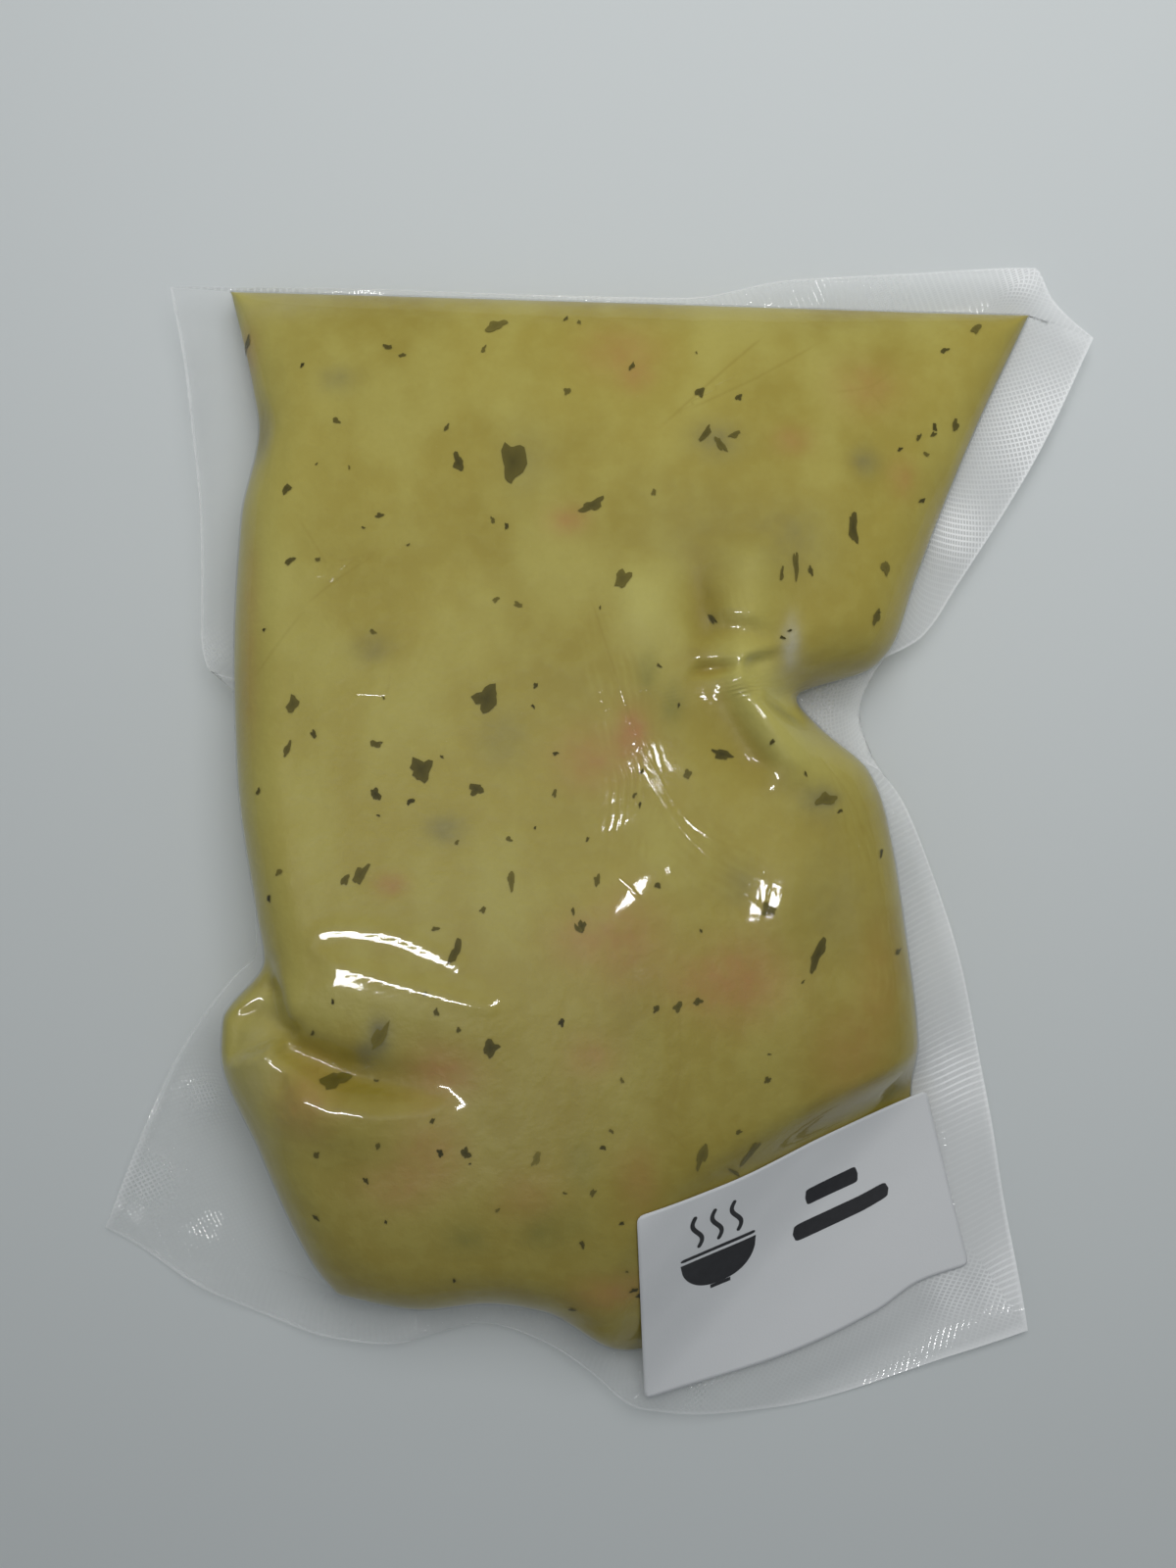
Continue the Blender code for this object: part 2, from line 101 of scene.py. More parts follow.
# Height of the filling's upper face: one row for each y from the top end down, and in a row one
# height for each x from left to right.
HEIGHT_ROWS = [0.1190, 0.0865, 0.0430, 0.0105, -0.0290, -0.0660, -0.0985]
HEIGHT_COLUMNS = [-0.0770, -0.0400, -0.0025, 0.0350, 0.0720]
HEIGHTS = [
    (0.0120, 0.0130, 0.0130, 0.0120, 0.0110),
    (0.0180, 0.0210, 0.0215, 0.0200, 0.0150),
    (0.0220, 0.0250, 0.0258, 0.0250, 0.0190),
    (0.0242, 0.0263, 0.0270, 0.0255, 0.0210),
    (0.0262, 0.0278, 0.0286, 0.0265, 0.0230),
    (0.0200, 0.0265, 0.0280, 0.0230, 0.0130),
    (0.0140, 0.0190, 0.0200, 0.0120, 0.0080),
]
WIDEST_SHARE = 0.38
SHOULDER = 0.013
RELIEF_EDGE = 0.006
CORNER_SHARPNESS = 3.0
UNDERSIDE_ROUNDING = 0.008

# Folds of the film over the filling: route, half widths on the left and on the right of it, height
# (below zero for a valley), share of the route over which it rises and dies away, and the colour on
# its two sides, from -1, darker, to 1, paler: partly deep yellow broth that gathers in the folds,
# partly painted shade in the folds and painted light on the ridges.
FOLDS = {
    "tongue": (
        [(0.0264, 0.0470), (0.0303, 0.0344), (0.0345, 0.0270), (0.0390, 0.0198), (0.0475, 0.0095)],
        (0.0052, 0.0046), 0.0038, (0.33, 0.50), (1.8, 1.8),
    ),
    "tongue_back": (
        [(0.0312, 0.0640), (0.0306, 0.0520), (0.0290, 0.0430)],
        (0.0060, 0.0060), 0.0022, (0.3, 0.2), (0.6, 0.6),
    ),
    "tongue_valley": (
        [(0.0200, 0.0370), (0.0240, 0.0290), (0.0295, 0.0200), (0.0355, 0.0130)],
        (0.0030, 0.0060), -0.0015, (0.75, 0.22), (-0.7, -0.6),
    ),
    "waist_valley": (
        [(0.0176, 0.0620), (0.0200, 0.0500), (0.0225, 0.0400)],
        (0.0036, 0.0030), -0.0013, (0.6, 0.15), (-0.4, -0.4),
    ),
    "waist_bulge": (
        [(0.0080, 0.0620), (0.0085, 0.0480), (0.0100, 0.0360)],
        (0.0070, 0.0055), 0.0007, (0.4, 0.5), (1.0, 1.0),
    ),
    "slit": (
        [(0.0180, 0.0354), (0.0240, 0.0360), (0.0290, 0.0364)],
        (0.0012, 0.0009), -0.0016, (0.3, 0.3), (-0.9, -0.9),
    ),
    "shelf": (
        [(-0.0600, -0.0240), (-0.0500, -0.0270), (-0.0380, -0.0295), (-0.0140, -0.0350)],
        (0.0065, 0.0070), 0.0009, (0.20, 0.45), (0.3, 0.3),
    ),
    "left_fold": (
        [(-0.0655, -0.0385), (-0.0590, -0.0420), (-0.0500, -0.0455), (-0.0230, -0.0490)],
        (0.0052, 0.0016), -0.0044, (0.08, 0.70), (-0.6, -0.3),
    ),
    "lower_lobe": (
        [(-0.0640, -0.0470), (-0.0500, -0.0530), (-0.0220, -0.0570)],
        (0.0050, 0.0080), 0.0034, (0.15, 0.85), (0.1, 0.1),
    ),
    "left_pinch": (
        [(-0.0760, 0.0960), (-0.0700, 0.0870), (-0.0730, 0.0780)],
        (0.0020, 0.0020), -0.0016, (0.25, 0.25), (-0.3, -0.3),
    ),
    "lobe_wrinkle": (
        [(-0.0750, -0.0290), (-0.0680, -0.0280), (-0.0630, -0.0300)],
        (0.0012, 0.0012), -0.0010, (0.3, 0.1), (-0.4, -0.4),
    ),
    "lobe_wrinkle_low": (
        [(-0.0770, -0.0350), (-0.0690, -0.0340), (-0.0630, -0.0370)],
        (0.0014, 0.0014), -0.0009, (0.3, 0.1), (-0.2, -0.2),
    ),
    "loop_upper": (
        [(-0.0251, -0.0239), (-0.0329, -0.0196), (-0.0426, -0.0161), (-0.0513, -0.0154),
         (-0.0558, -0.0167), (-0.0566, -0.0185), (-0.0546, -0.0210), (-0.0465, -0.0239),
         (-0.0368, -0.0268), (-0.0271, -0.0297), (-0.0183, -0.0319)],
        (0.0014, 0.0014), 0.0003, (0.04, 0.04), (0.0, 0.0),
    ),
    "loop_lower": (
        [(-0.0523, -0.0433), (-0.0465, -0.0449), (-0.0387, -0.0467), (-0.0329, -0.0476),
         (-0.0300, -0.0488), (-0.0309, -0.0507), (-0.0358, -0.0523), (-0.0426, -0.0525),
         (-0.0480, -0.0511), (-0.0517, -0.0492)],
        (0.0012, 0.0012), 0.0003, (0.04, 0.04), (0.0, 0.0),
    ),
    "bulge_low": (
        [(0.0150, 0.0050), (0.0106, -0.0031), (0.0025, -0.0136), (-0.0040, -0.0240)],
        (0.0060, 0.0060), 0.0004, (0.40, 0.40), (0.2, 0.2),
    ),
    "bulge_right": (
        [(0.0440, 0.0060), (0.0390, -0.0080), (0.0340, -0.0260)],
        (0.0060, 0.0060), 0.0008, (0.40, 0.40), (0.1, 0.1),
    ),
}
# Places where the filling drops to one side: a route whose left-hand side, seen along it,
# is the low one, the drop, and how far the low ground reaches.
STEPS = {
    "left_overhang": ([(-0.0605, -0.0385), (-0.0640, -0.0300), (-0.0680, -0.0205)], -0.0060, 0.0200),
    "tongue_edge": (
        [(0.0290, 0.0390), (0.0303, 0.0344), (0.0371, 0.0276), (0.0430, 0.0262)], -0.0045, 0.0060,
    ),
}
STEP_SOFTNESS = 0.0016
STEP_FADES = (0.12, 0.12)
SIDE_SOFTNESS = 0.0010
FOLD_SIGHT = 3.0

# Low lumps where pieces of vegetable push the film up.
LUMP_AREA = ((-0.07, 0.07), (-0.095, 0.11))
LUMP_COUNT = 46
LUMP_RADIUS = (0.006, 0.012)
LUMP_HEIGHT = 0.0004
LUMP_SEED = 469

# Where the seals show painted glints over a deeper emboss: place and reach.
SEAL_GLARES = [
    ((-0.0895, 0.1080), 0.005), ((-0.0895, 0.0980), 0.005), ((-0.0820, 0.0406), 0.005),
    ((0.0967, 0.0879), 0.011), ((0.0772, 0.0671), 0.006), ((0.0916, 0.1228), 0.004),
    ((0.0778, -0.0496), 0.008), ((0.0770, -0.0974), 0.005), ((0.0884, -0.0953), 0.006),
    ((-0.0978, -0.0730), 0.007), ((-0.0846, -0.0539), 0.005),
]
# A small ring pressed into the lower left margin: place, radius and width of its line.
PRESSED_RING = ((-0.0876, -0.0513), 0.0018, 0.0005)

# Fine sharp creases in the film, too thin for its mesh: route and depth share.
CREASES = [
    ([(-0.0605, 0.0668), (-0.0560, 0.0600), (-0.0531, 0.0549)], 0.6),
    ([(-0.0588, 0.0490), (-0.0510, 0.0550), (-0.0437, 0.0596)], 0.7),
    ([(-0.0541, 0.0574), (-0.0437, 0.0596), (-0.0434, 0.0556)], 0.5),
    ([(-0.0694, 0.0343), (-0.0640, 0.0415), (-0.0588, 0.0480)], 0.6),
    ([(-0.0500, 0.0312), (-0.0421, 0.0308), (-0.0412, 0.0363)], 0.5),
    ([(0.0126, 0.0850), (0.0240, 0.0960), (0.0355, 0.1066)], 1.0),
    ([(0.0170, 0.0884), (0.0330, 0.0965), (0.0473, 0.1052)], 0.8),
    ([(0.0480, 0.0935), (0.0560, 0.0950), (0.0620, 0.0990)], 0.5),
    ([(0.0560, 0.0950), (0.0600, 0.0900)], 0.4),
    ([(0.0140, -0.0553), (0.0162, -0.0580), (0.0184, -0.0602)], 0.8),
    ([(0.0158, -0.0262), (0.0165, -0.0400), (0.0140, -0.0553)], 0.5),
    ([(-0.0014, 0.0508), (0.0030, 0.0370), (0.0080, 0.0220)], 0.9),
    ([(0.0060, 0.0250), (0.0200, 0.0040), (0.0340, -0.0020)], 0.25),
    ([(0.0060, 0.0210), (0.0220, -0.0010), (0.0380, -0.0080)], 0.20),
    ([(0.0440, 0.0200), (0.0520, 0.0080), (0.0560, -0.0060)], 0.5),
    ([(0.0460, 0.0180), (0.0500, 0.0040), (0.0510, -0.0100)], 0.4),
    ([(0.0290, -0.0085), (0.0325, -0.0110), (0.0360, -0.0125)], 0.6),
    ([(0.0345, -0.0050), (0.0338, -0.0100), (0.0322, -0.0150)], 0.35),
    ([(0.0036, -0.0048), (0.0062, -0.0070), (0.0092, -0.0104)], 0.6),
]
CREASE_REACH = 0.004
CREASE_WIDTH = 0.00032
# Bands of close fine wrinkles: route, half width of the band, wrinkle spacing and depth share.
PLEATS = [
    ([(-0.0010, 0.0500), (0.0040, 0.0300), (0.0070, 0.0100), (0.0060, -0.0120)], 0.0060, 0.0017, 1.0),
    ([(0.0100, 0.0140), (0.0220, 0.0000), (0.0330, -0.0080)], 0.0070, 0.0021, 0.5),
    ([(0.0100, -0.0150), (0.0130, -0.0350), (0.0110, -0.0560)], 0.0060, 0.0024, 0.5),
    ([(0.0480, 0.0190), (0.0570, -0.0050), (0.0600, -0.0350), (0.0610, -0.0560)], 0.0050, 0.0016, 0.7),
    ([(-0.0700, -0.0250), (-0.0720, -0.0380)], 0.0050, 0.0022, 0.7),
    ([(0.0260, 0.0560), (0.0300, 0.0440), (0.0360, 0.0340)], 0.0040, 0.0015, 0.4),
    ([(-0.0720, 0.0960), (-0.0700, 0.0800)], 0.0040, 0.0018, 0.4),
]

# What shows through the chowder as soft clouds, in millimetres: x, y, radius across, radius up,
# finish and strength.
CLOUDS = [
    (-1, 18, 7, 6, "carrot", 0.45), (7, 23, 3, 5, "carrot", 0.75), (6, -18, 7, 9, "carrot", 0.45),
    (-4, -18, 6, 5, "carrot", 0.30), (-1, -41, 5, 4, "carrot", 0.35), (-41, -7, 3, 2, "carrot", 0.60),
    (-6, 66, 4, 3, "carrot", 0.45), (5, 102, 8, 6, "carrot", 0.35), (8, 96, 3, 3, "carrot", 0.40),
    (40, 83, 4, 3, "carrot", 0.35), (56, 95, 7, 6, "carrot", 0.30), (63, 76, 3, 4, "carrot", 0.35),
    (29, -26, 9, 8, "carrot", 0.50), (-31, -44, 7, 5, "carrot", 0.55), (-58, -50, 6, 7, "carrot", 0.35),
    (-33, -60, 7, 8, "carrot", 0.35), (-40, -67, 7, 5, "carrot", 0.30), (-14, -69, 6, 5, "carrot", 0.25),
    (3, -90, 7, 4, "carrot", 0.50), (8, -66, 4, 7, "carrot", 0.35), (-74, 104, 3, 6, "carrot", 0.35),
    (50, -42, 7, 9, "carrot", 0.25), (20, -26, 8, 5, "carrot", 0.25), (-44, -48, 8, 4, "amber", 0.40),
    (-26, 68, 12, 9, "amber", 0.12), (22, 49, 3, 7, "amber", 0.70), (20, 40, 2, 4, "amber", 0.60),
    (36, 14, 7, 4, "amber", 0.45), (46, 6, 6, 7, "amber", 0.35), (-12, -56, 22, 14, "amber", 0.22),
    (8, -30, 6, 12, "amber", 0.35), (-30, -84, 16, 8, "amber", 0.18), (4, -74, 8, 14, "amber", 0.35),
    (40, -48, 14, 8, "amber", 0.25), (-53, 96, 4, 3, "slate", 0.35), (-30, 4, 4, 3, "slate", 0.50),
    (-43, -37, 2.4, 4, "slate", 0.75), (-46, -41, 2.2, 3, "slate", 0.65), (24, 83, 5, 4, "slate", 0.45),
    (55, 79, 3, 3, "slate", 0.50), (45, 10, 4, 3, "slate", 0.55), (40, 62, 7, 8, "slate", 0.30),
    (29, -7, 4, 4, "slate", 0.30), (48, -10, 9, 12, "slate", 0.22), (-19, 22, 5, 6, "slate", 0.25),
    (-45, 40, 4, 3, "slate", 0.35), (-14, 78, 5, 7, "slate", 0.22), (22, 64, 12, 10, "slate", 0.16),
    (10, 35, 2, 4, "green", 0.60), (15, 29, 2.4, 4, "green", 0.60), (-26, -78, 4, 3, "green", 0.55),
    (-11, -77, 4, 3, "green", 0.50), (-8, -74, 7, 4, "green", 0.30), (-3, -62, 3, 5, "green", 0.35),
    (-43, -96, 4, 2, "green", 0.45), (39, 41, 1.8, 5, "air", 0.75), (40, 36, 5, 3, "air", 0.20),
    (-69, -45, 4, 16, "air", 0.16), (-66, 113, 10, 3, "air", 0.15),
    (-71, 50, 2.5, 14, "carrot", 0.24), (-71, 30, 2.5, 10, "carrot", 0.20),
    (57, -27, 5, 14, "carrot", 0.20), (-70, 86, 2.5, 6, "slate", 0.45),
]
# Herb flakes just under the film, in millimetres and degrees: x, y, length, width, turn and veil,
# the share of chowder that covers them. Length and width are trimmed a little on the way to metres.
HERBS = [
    (-17, 78, 10.5, 5.0, 82, 0.25), (-22, 30, 6.5, 5.0, 35, 0.20), (-35, 16, 5.5, 4.5, 60, 0.20),
    (-24, 12, 3.2, 2.4, 20, 0.20), (-44, 11, 3.0, 2.0, 100, 0.10), (-44, 21, 2.6, 1.6, 10, 0.30),
    (-28, 78, 3.8, 2.4, 100, 0.15), (-61, 29, 4.0, 2.4, 80, 0.30), (-62, 20, 3.2, 1.6, 70, 0.30),
    (-21, 108, 4.6, 3.0, 20, 0.50), (-43, 103, 2.2, 1.2, 0, 0.20), (-74, 106, 3.4, 1.6, 60, 0.30),
    (-62, 58, 2.4, 1.4, 40, 0.20), (-63, 73, 2.6, 1.8, 70, 0.20), (-1, 69, 5.2, 2.6, 25, 0.25),
    (5, 54, 4.8, 3.0, 50, 0.40), (-47, -5, 5.4, 2.4, 60, 0.35), (-50, -6, 2.6, 1.6, 70, 0.35),
    (-66, -10, 1.8, 1.0, 100, 0.00), (-28, -20, 6.6, 1.8, 75, 0.25), (-17, -6, 3.6, 1.8, 95, 0.50),
    (-3, -15, 2.6, 1.8, 80, 0.20), (-7, -34, 2.0, 1.2, 70, 0.00), (-21, -39, 3.8, 3.4, 15, 0.15),
    (-31, -60, 1.8, 1.4, 120, 0.00), (-26, -60, 2.4, 2.0, 90, 0.10), (-46, -66, 1.8, 1.0, 120, 0.10),
    (-56, -61, 2.0, 1.2, 60, 0.30), (-52, -46, 5.6, 2.8, 10, 0.35), (16, -31, 2.4, 1.8, 60, 0.25),
    (21, 93, 2.6, 2.0, 60, 0.20), (29, 92, 1.6, 1.4, 0, 0.15), (-6, 93, 2.0, 1.4, 60, 0.40),
    (52, 65, 7.0, 2.2, 97, 0.15), (80, 109, 2.8, 2.0, 60, 0.40), (75, 88, 3.0, 1.6, 80, 0.25),
    (40, 57, 6.5, 1.2, 88, 0.30), (43, 56, 2.6, 0.9, 100, 0.20), (37, 55, 3.2, 0.9, 85, 0.30),
    (57, 47, 3.6, 1.8, 80, 0.30), (59, 57, 3.6, 1.8, 90, 0.45), (23, 46, 2.8, 1.0, 130, 0.10),
    (25, 19, 5.2, 1.8, 165, 0.10), (18, 15, 2.4, 1.6, 70, 0.40), (44, -21, 7.5, 2.4, 62, 0.15),
    (58, -1, 2.0, 0.9, 70, 0.10), (20, -30, 2.2, 1.4, 0, 0.20), (34, -46, 1.8, 1.2, 60, 0.20),
    (21, -61, 7.5, 2.0, 75, 0.40), (31, -62, 7.0, 1.6, 60, 0.45), (28, -66, 3.6, 1.0, 140, 0.40),
    (34, -12, 3.6, 2.6, 30, 0.35), (46, 10, 4.6, 3.0, 10, 0.40), (22, 84, 4.6, 1.4, 60, 0.25),
    (25, 82, 4.2, 1.6, 120, 0.35), (28, 84, 3.0, 1.2, 20, 0.35), (-43, -37, 7.0, 2.4, 62, 0.55),
    (12, -7, 1.6, 1.2, 0, 0.20), (0, -6, 2.4, 1.4, 90, 0.40), (-12, -61, 3.4, 1.6, 60, 0.60),
]
FLAKE_TRIM = 1150
FLAKE_SIDES = 18
FLAKE_RAGGEDNESS = 0.16
FLAKE_DEPTH = 0.00008
FLECK_AREA = ((-0.07, 0.08), (-0.095, 0.112))
FLECK_EDGE = 0.004
FLECK_COUNT = 110
FLECK_LENGTH = (0.0006, 0.0018)
FLECK_WIDTH_SHARE = 0.55
FLECK_SEED = 5

# The label: its edges from above, its size laid flat, and its height along the slope it follows.
LABEL_TOP = [(0.0079, -0.0732), (0.0297, -0.0674), (0.0474, -0.0608), (0.0706, -0.0525)]
LABEL_BOTTOM = [
    (0.0103, -0.1187), (0.0390, -0.1105), (0.0603, -0.1007), (0.0695, -0.0944), (0.0804, -0.0907),
]
LABEL_SIZE = (0.076, 0.051)
LABEL_SLOPE_WAY = (0.745, -0.667)
LABEL_RUN = [-0.040, -0.010, 0.0, 0.010, 0.022, 0.033, 0.045, 0.066, 0.090]
LABEL_HEIGHTS = [0.0280, 0.0275, 0.0260, 0.0205, 0.0120, 0.0066, 0.0050, 0.0042, 0.0038]
LABEL_GAP = 0.0004
LABEL_LIFT = 0.0001
LABEL_REACH = 0.012
INK_LIFT = 0.00004
# Generic print on the label, in its own flat millimetres from its top left corner: a bowl with
# three curls of steam, and two plain bars.
PRINT_BARS = [((42.0, 14.5), (55.5, 14.5), 2.1), ((38.0, 22.5), (62.0, 22.5), 2.1)]
PRINT_BOWL = {
    "left": 10.0, "right": 29.0, "rim": 17.0, "rim_rise": 0.4, "rim_half_width": 0.45, "gap": 0.8,
    "depth": 8.5, "foot": 5.0, "foot_drop": 0.5, "foot_half_width": 0.5,
}
PRINT_STEAM = {
    "curls": 3, "first": 14.5, "spacing": 5.0, "low": 14.5, "high": 5.5, "sway": 1.1, "half_width": 0.55,
}

# The empty margins: height at each corner, how soon they fall away from the filling, and their waves.
MARGIN_CORNERS = {
    "top_left": 0.0070, "top_right": 0.0050, "bottom_left": 0.0012, "bottom_right": 0.0012,
}
MARGIN_FALL = 0.007
MARGIN_WAVE = 0.0007
MARGIN_WAVE_LENGTH = 0.045
LOWEST_MARGIN = 0.0004
CUT_EDGE_WIDTH = 0.0009

# How finely the shapes are divided, and how small a length or share counts as nothing.
BOW_FADE = 4
EVEN_SHARE = 0.45
EDGE_SAMPLES = 220
ROUTE_SAMPLES = 80
PRINT_SAMPLES = 49
FILL_GRID = (186, 256)
BACK_GRID = (60, 80)
MARGIN_CELLS = 16
LABEL_GRID = (76, 51)
TINY = 1e-6
MILLIMETRES = 1000

# The camera looks straight down.
CAMERA_PLACE = (-0.0018, 0.0130, 0.2860)
CAMERA_LENS = 30.0
FLOOR_HALF_SIDE = 2.0
FLOOR_DROP = 0.0003
# Lamps: place, watts and two sides. The soft box is seen by no gloss, the ceiling lamps by gloss alone.
SOFT_BOX = ((0.08, 0.32, 0.50), 2.3, 0.50, 0.50)
CEILING_LAMPS = {
    "ceiling_right": ((0.20, 0.01, 1.80), 2.6, 0.15, 0.13),
    "ceiling_left": ((-0.50, -0.30, 1.80), 10.1, 0.62, 0.13),
}
ROOM_COLOUR = (0.80, 0.86, 0.90, 1)
ROOM_STRENGTH = 0.26


def length_property(name, description, default, low, high):
    """A length in metres that a user may change."""
    return FloatProperty(
        name=name, description=description, default=default, min=low, max=high, subtype="DISTANCE",
        unit="LENGTH",
    )


class PouchSizes(bpy.types.PropertyGroup):
    """Sizes that a user may change."""

    film_gap: length_property("Film gap", "Distance from the film in to the chowder", 0.0003, 0.0001, 0.001)
    seal_pitch: length_property("Seal pitch", "Spacing of the embossed diamonds", 0.0014, 0.0005, 0.004)
    label_thickness: length_property("Label thickness", "Thickness of the label", 0.00015, 0.00005, 0.0005)
    label_corner: length_property("Label corner", "Radius of the label's corners", 0.0016, 0.0, 0.006)
    flecks: IntProperty(
        name="Flecks", description="Number of small herb flecks scattered between the flakes",
        default=FLECK_COUNT, min=0, max=400,
    )


def colour_property(name, description, default):
    """A linear colour that a user may change."""
    return FloatVectorProperty(
        name=name, description=description, default=default, min=0.0, max=1.0, subtype="COLOR", size=3
    )


class PouchColours(bpy.types.PropertyGroup):
    """Colours that a user may change."""

    chowder: colour_property("Chowder", "The chowder's main yellow", (0.425, 0.345, 0.060))
    # Pale chowder is also drawn on fold ridges and wrinkle stripes as painted light.
    pale: colour_property("Pale chowder", "Thick chowder pressed up against the film", (0.56, 0.51, 0.14))
    # Deep chowder is also drawn in the folds and along the fine creases as painted shade.
    deep: colour_property("Deep chowder", "Clear broth gathered in the folds", (0.28, 0.20, 0.014))
    carrot: colour_property("Carrot", "Cooked carrot seen through chowder", (0.46, 0.19, 0.07))
    # Amber is also drawn towards the bottom of the chowder as painted shade.
    amber: colour_property("Amber", "Thin broth over the dark of the pouch", (0.28, 0.21, 0.018))
    slate: colour_property("Slate", "Herbs and pieces seen deep in the chowder", (0.16, 0.15, 0.085))
    green: colour_property("Green", "Celery seen through chowder", (0.20, 0.19, 0.03))
    air: colour_property("Air", "Film that stands off the filling", (0.52, 0.50, 0.38))
    herb: colour_property("Herb", "Herb flakes under the film", (0.026, 0.021, 0.001))
    film: colour_property("Film", "What the film lets through", (0.985, 0.985, 0.98))
    paper: colour_property("Label paper", "The label's white", (0.71, 0.72, 0.73))
    ink: colour_property("Print", "The label's print", (0.012, 0.012, 0.014))
    floor: colour_property("Floor", "The pale surface under the pouch", (0.66, 0.69, 0.69))


def smooth_line(knots, values, at):
    """A curve through the knots that doesn't overshoot them, read at the places asked for.

    The values are one number for each knot, or one row for each knot with a number for each place.
    """
    knots, values = np.asarray(knots, float), np.asarray(values, float)
    if knots[0] > knots[-1]:
        knots, values = knots[::-1], values[::-1]
    if values.ndim == 1:
        values = np.repeat(values[:, None], len(at), 1)
    widths = np.diff(knots)
    slopes = np.diff(values, axis=0) / widths[:, None]
    tangents = np.concatenate([slopes[:1], np.zeros_like(slopes[1:]), slopes[-1:]])
    steady = slopes[:-1] * slopes[1:] > 0
    both = slopes[:-1] + slopes[1:]
    tangents[1:-1][steady] = (2 * slopes[:-1] * slopes[1:])[steady] / both[steady]
    at = np.clip(at, knots[0], knots[-1])
    left = np.clip(np.searchsorted(knots, at, side="right") - 1, 0, len(widths) - 1)
    s = (at - knots[left]) / widths[left]
    each = np.arange(len(at))
    return (
        values[left, each] * (1 + 2 * s) * (1 - s) ** 2
        + values[left + 1, each] * s**2 * (3 - 2 * s)
        + widths[left] * tangents[left, each] * s * (1 - s) ** 2
        - widths[left] * tangents[left + 1, each] * s**2 * (1 - s)
    )


def upright_side(points, v):
    """A left or right side at the shares v of its way down."""
    xs, ys = np.array(points).T
    y = ys[0] + (ys[-1] - ys[0]) * v
    return np.stack([smooth_line(ys, xs, y), y], -1)


def level_side(points, u):
    """A top or bottom side at the shares u of its way across."""
    xs, ys = np.array(points).T
    x = xs[0] + (xs[-1] - xs[0]) * u
    return np.stack([x, smooth_line(xs, ys, x)], -1)


def patch(left, right, top, bottom, u, v):
    """Places inside four sides, at shares u across and v down."""
    between = upright_side(left, v) * (1 - u[:, None]) + upright_side(right, v) * u[:, None]
    for side, corners, share in ((top, (left[0], right[0]), 1 - v), (bottom, (left[-1], right[-1]), v)):
        start, end = np.array(corners)
        bow = level_side(side, u) - (start + (end - start) * u[:, None])
        between = between + bow * (share**BOW_FADE)[:, None]
    return between


def edge_shares():
    """Shares across and down round a closed edge, anticlockwise from the top left corner."""
    t = np.linspace(0, 1, EDGE_SAMPLES, endpoint=False)
    ends = np.zeros_like(t)
    return np.concatenate([ends, t, ends + 1, 1 - t]), np.concatenate([t, ends + 1, 1 - t, ends])


def closed_edge(left, right, top, bottom):
    """The four sides as one closed run of points, anticlockwise from the top left corner."""
    t = np.linspace(0, 1, EDGE_SAMPLES, endpoint=False)
    return np.concatenate([
        upright_side(left, t),
        level_side(bottom, t),
        upright_side(right, 1 - t),
        level_side(top, 1 - t),
    ])


def distance_to(edge, places):
    """Distance from each place to a closed run of points, and the nearest point's number."""
    tree = KDTree(len(edge))
    for i, (x, y) in enumerate(edge):
        tree.insert((x, y, 0), i)
    tree.balance()
    nearest = np.array([tree.find((x, y, 0))[1] for x, y in places])
    found = np.full(len(places), np.inf)
    for step in (-1, 1):
        a, b = edge[nearest], edge[(nearest + step) % len(edge)]
        along = b - a
        share = np.sum((places - a) * along, 1) / np.maximum(np.sum(along**2, 1), 1e-12)
        foot = a + along * np.clip(share, 0, 1)[:, None]
        found = np.minimum(found, np.hypot(*(places - foot).T))
    return found, nearest


def soft_distance(places):
    """Distance in from the filling's four sides, rounded where two sides are as near."""
    t = np.linspace(0, 1, EDGE_SAMPLES)
    total = np.zeros(len(places))
    for side in (
        upright_side(FILL_LEFT, t), upright_side(FILL_RIGHT, t), level_side(FILL_TOP, t),
        level_side(FILL_BOTTOM, t),
    ):
        there_and_back = np.concatenate([side, side[-2:0:-1]])
        total += np.maximum(distance_to(there_and_back, places)[0], TINY) ** -CORNER_SHARPNESS
    return total ** (-1 / CORNER_SHARPNESS)


def inside(edge, places):
    """True for each place inside a closed run of points."""
    within = np.zeros(len(places), bool)
    x, y = places.T
    for (x0, y0), (x1, y1) in zip(edge, np.roll(edge, -1, axis=0)):
        if y0 != y1:
            crossed = (y0 > y) != (y1 > y)
            within ^= crossed & (x < (x1 - x0) * (y - y0) / (y1 - y0) + x0)
    return within


def eased(t):
    """0 to 1 with soft ends."""
    t = np.clip(t, 0, 1)
    return t * t * (3 - 2 * t)


def quarter_round(distance, radius):
    """0 at an edge and 1 beyond the radius, as a quarter of a circle rises."""
    return np.sqrt(1 - (1 - np.clip(distance / radius, 0, 1)) ** 2)


def plain_height(places):
    """Height of the filling's upper face before its folds."""
    rows = [smooth_line(HEIGHT_COLUMNS, row, places[:, 0]) for row in HEIGHTS]
    return smooth_line(HEIGHT_ROWS, rows, places[:, 1])


def label_height(places):
    """Height of the surface that the label follows."""
    run = (places - np.array(LABEL_TOP[0])) @ np.array(LABEL_SLOPE_WAY)
    return smooth_line(LABEL_RUN, LABEL_HEIGHTS, run)


def label_edge():
    """The label's outline from above."""
    t = np.linspace(0, 1, EDGE_SAMPLES, endpoint=False)
    top, bottom = level_side(LABEL_TOP, t), level_side(LABEL_BOTTOM, t)
    ends = np.array([LABEL_TOP[-1], LABEL_BOTTOM[-1]])
    left = top[0] + (np.array(LABEL_BOTTOM[0]) - top[0]) * t[:, None]
    right = ends[0] + (ends[1] - ends[0]) * t[:, None]
    return np.concatenate([left, bottom, right[::-1], top[::-1]])


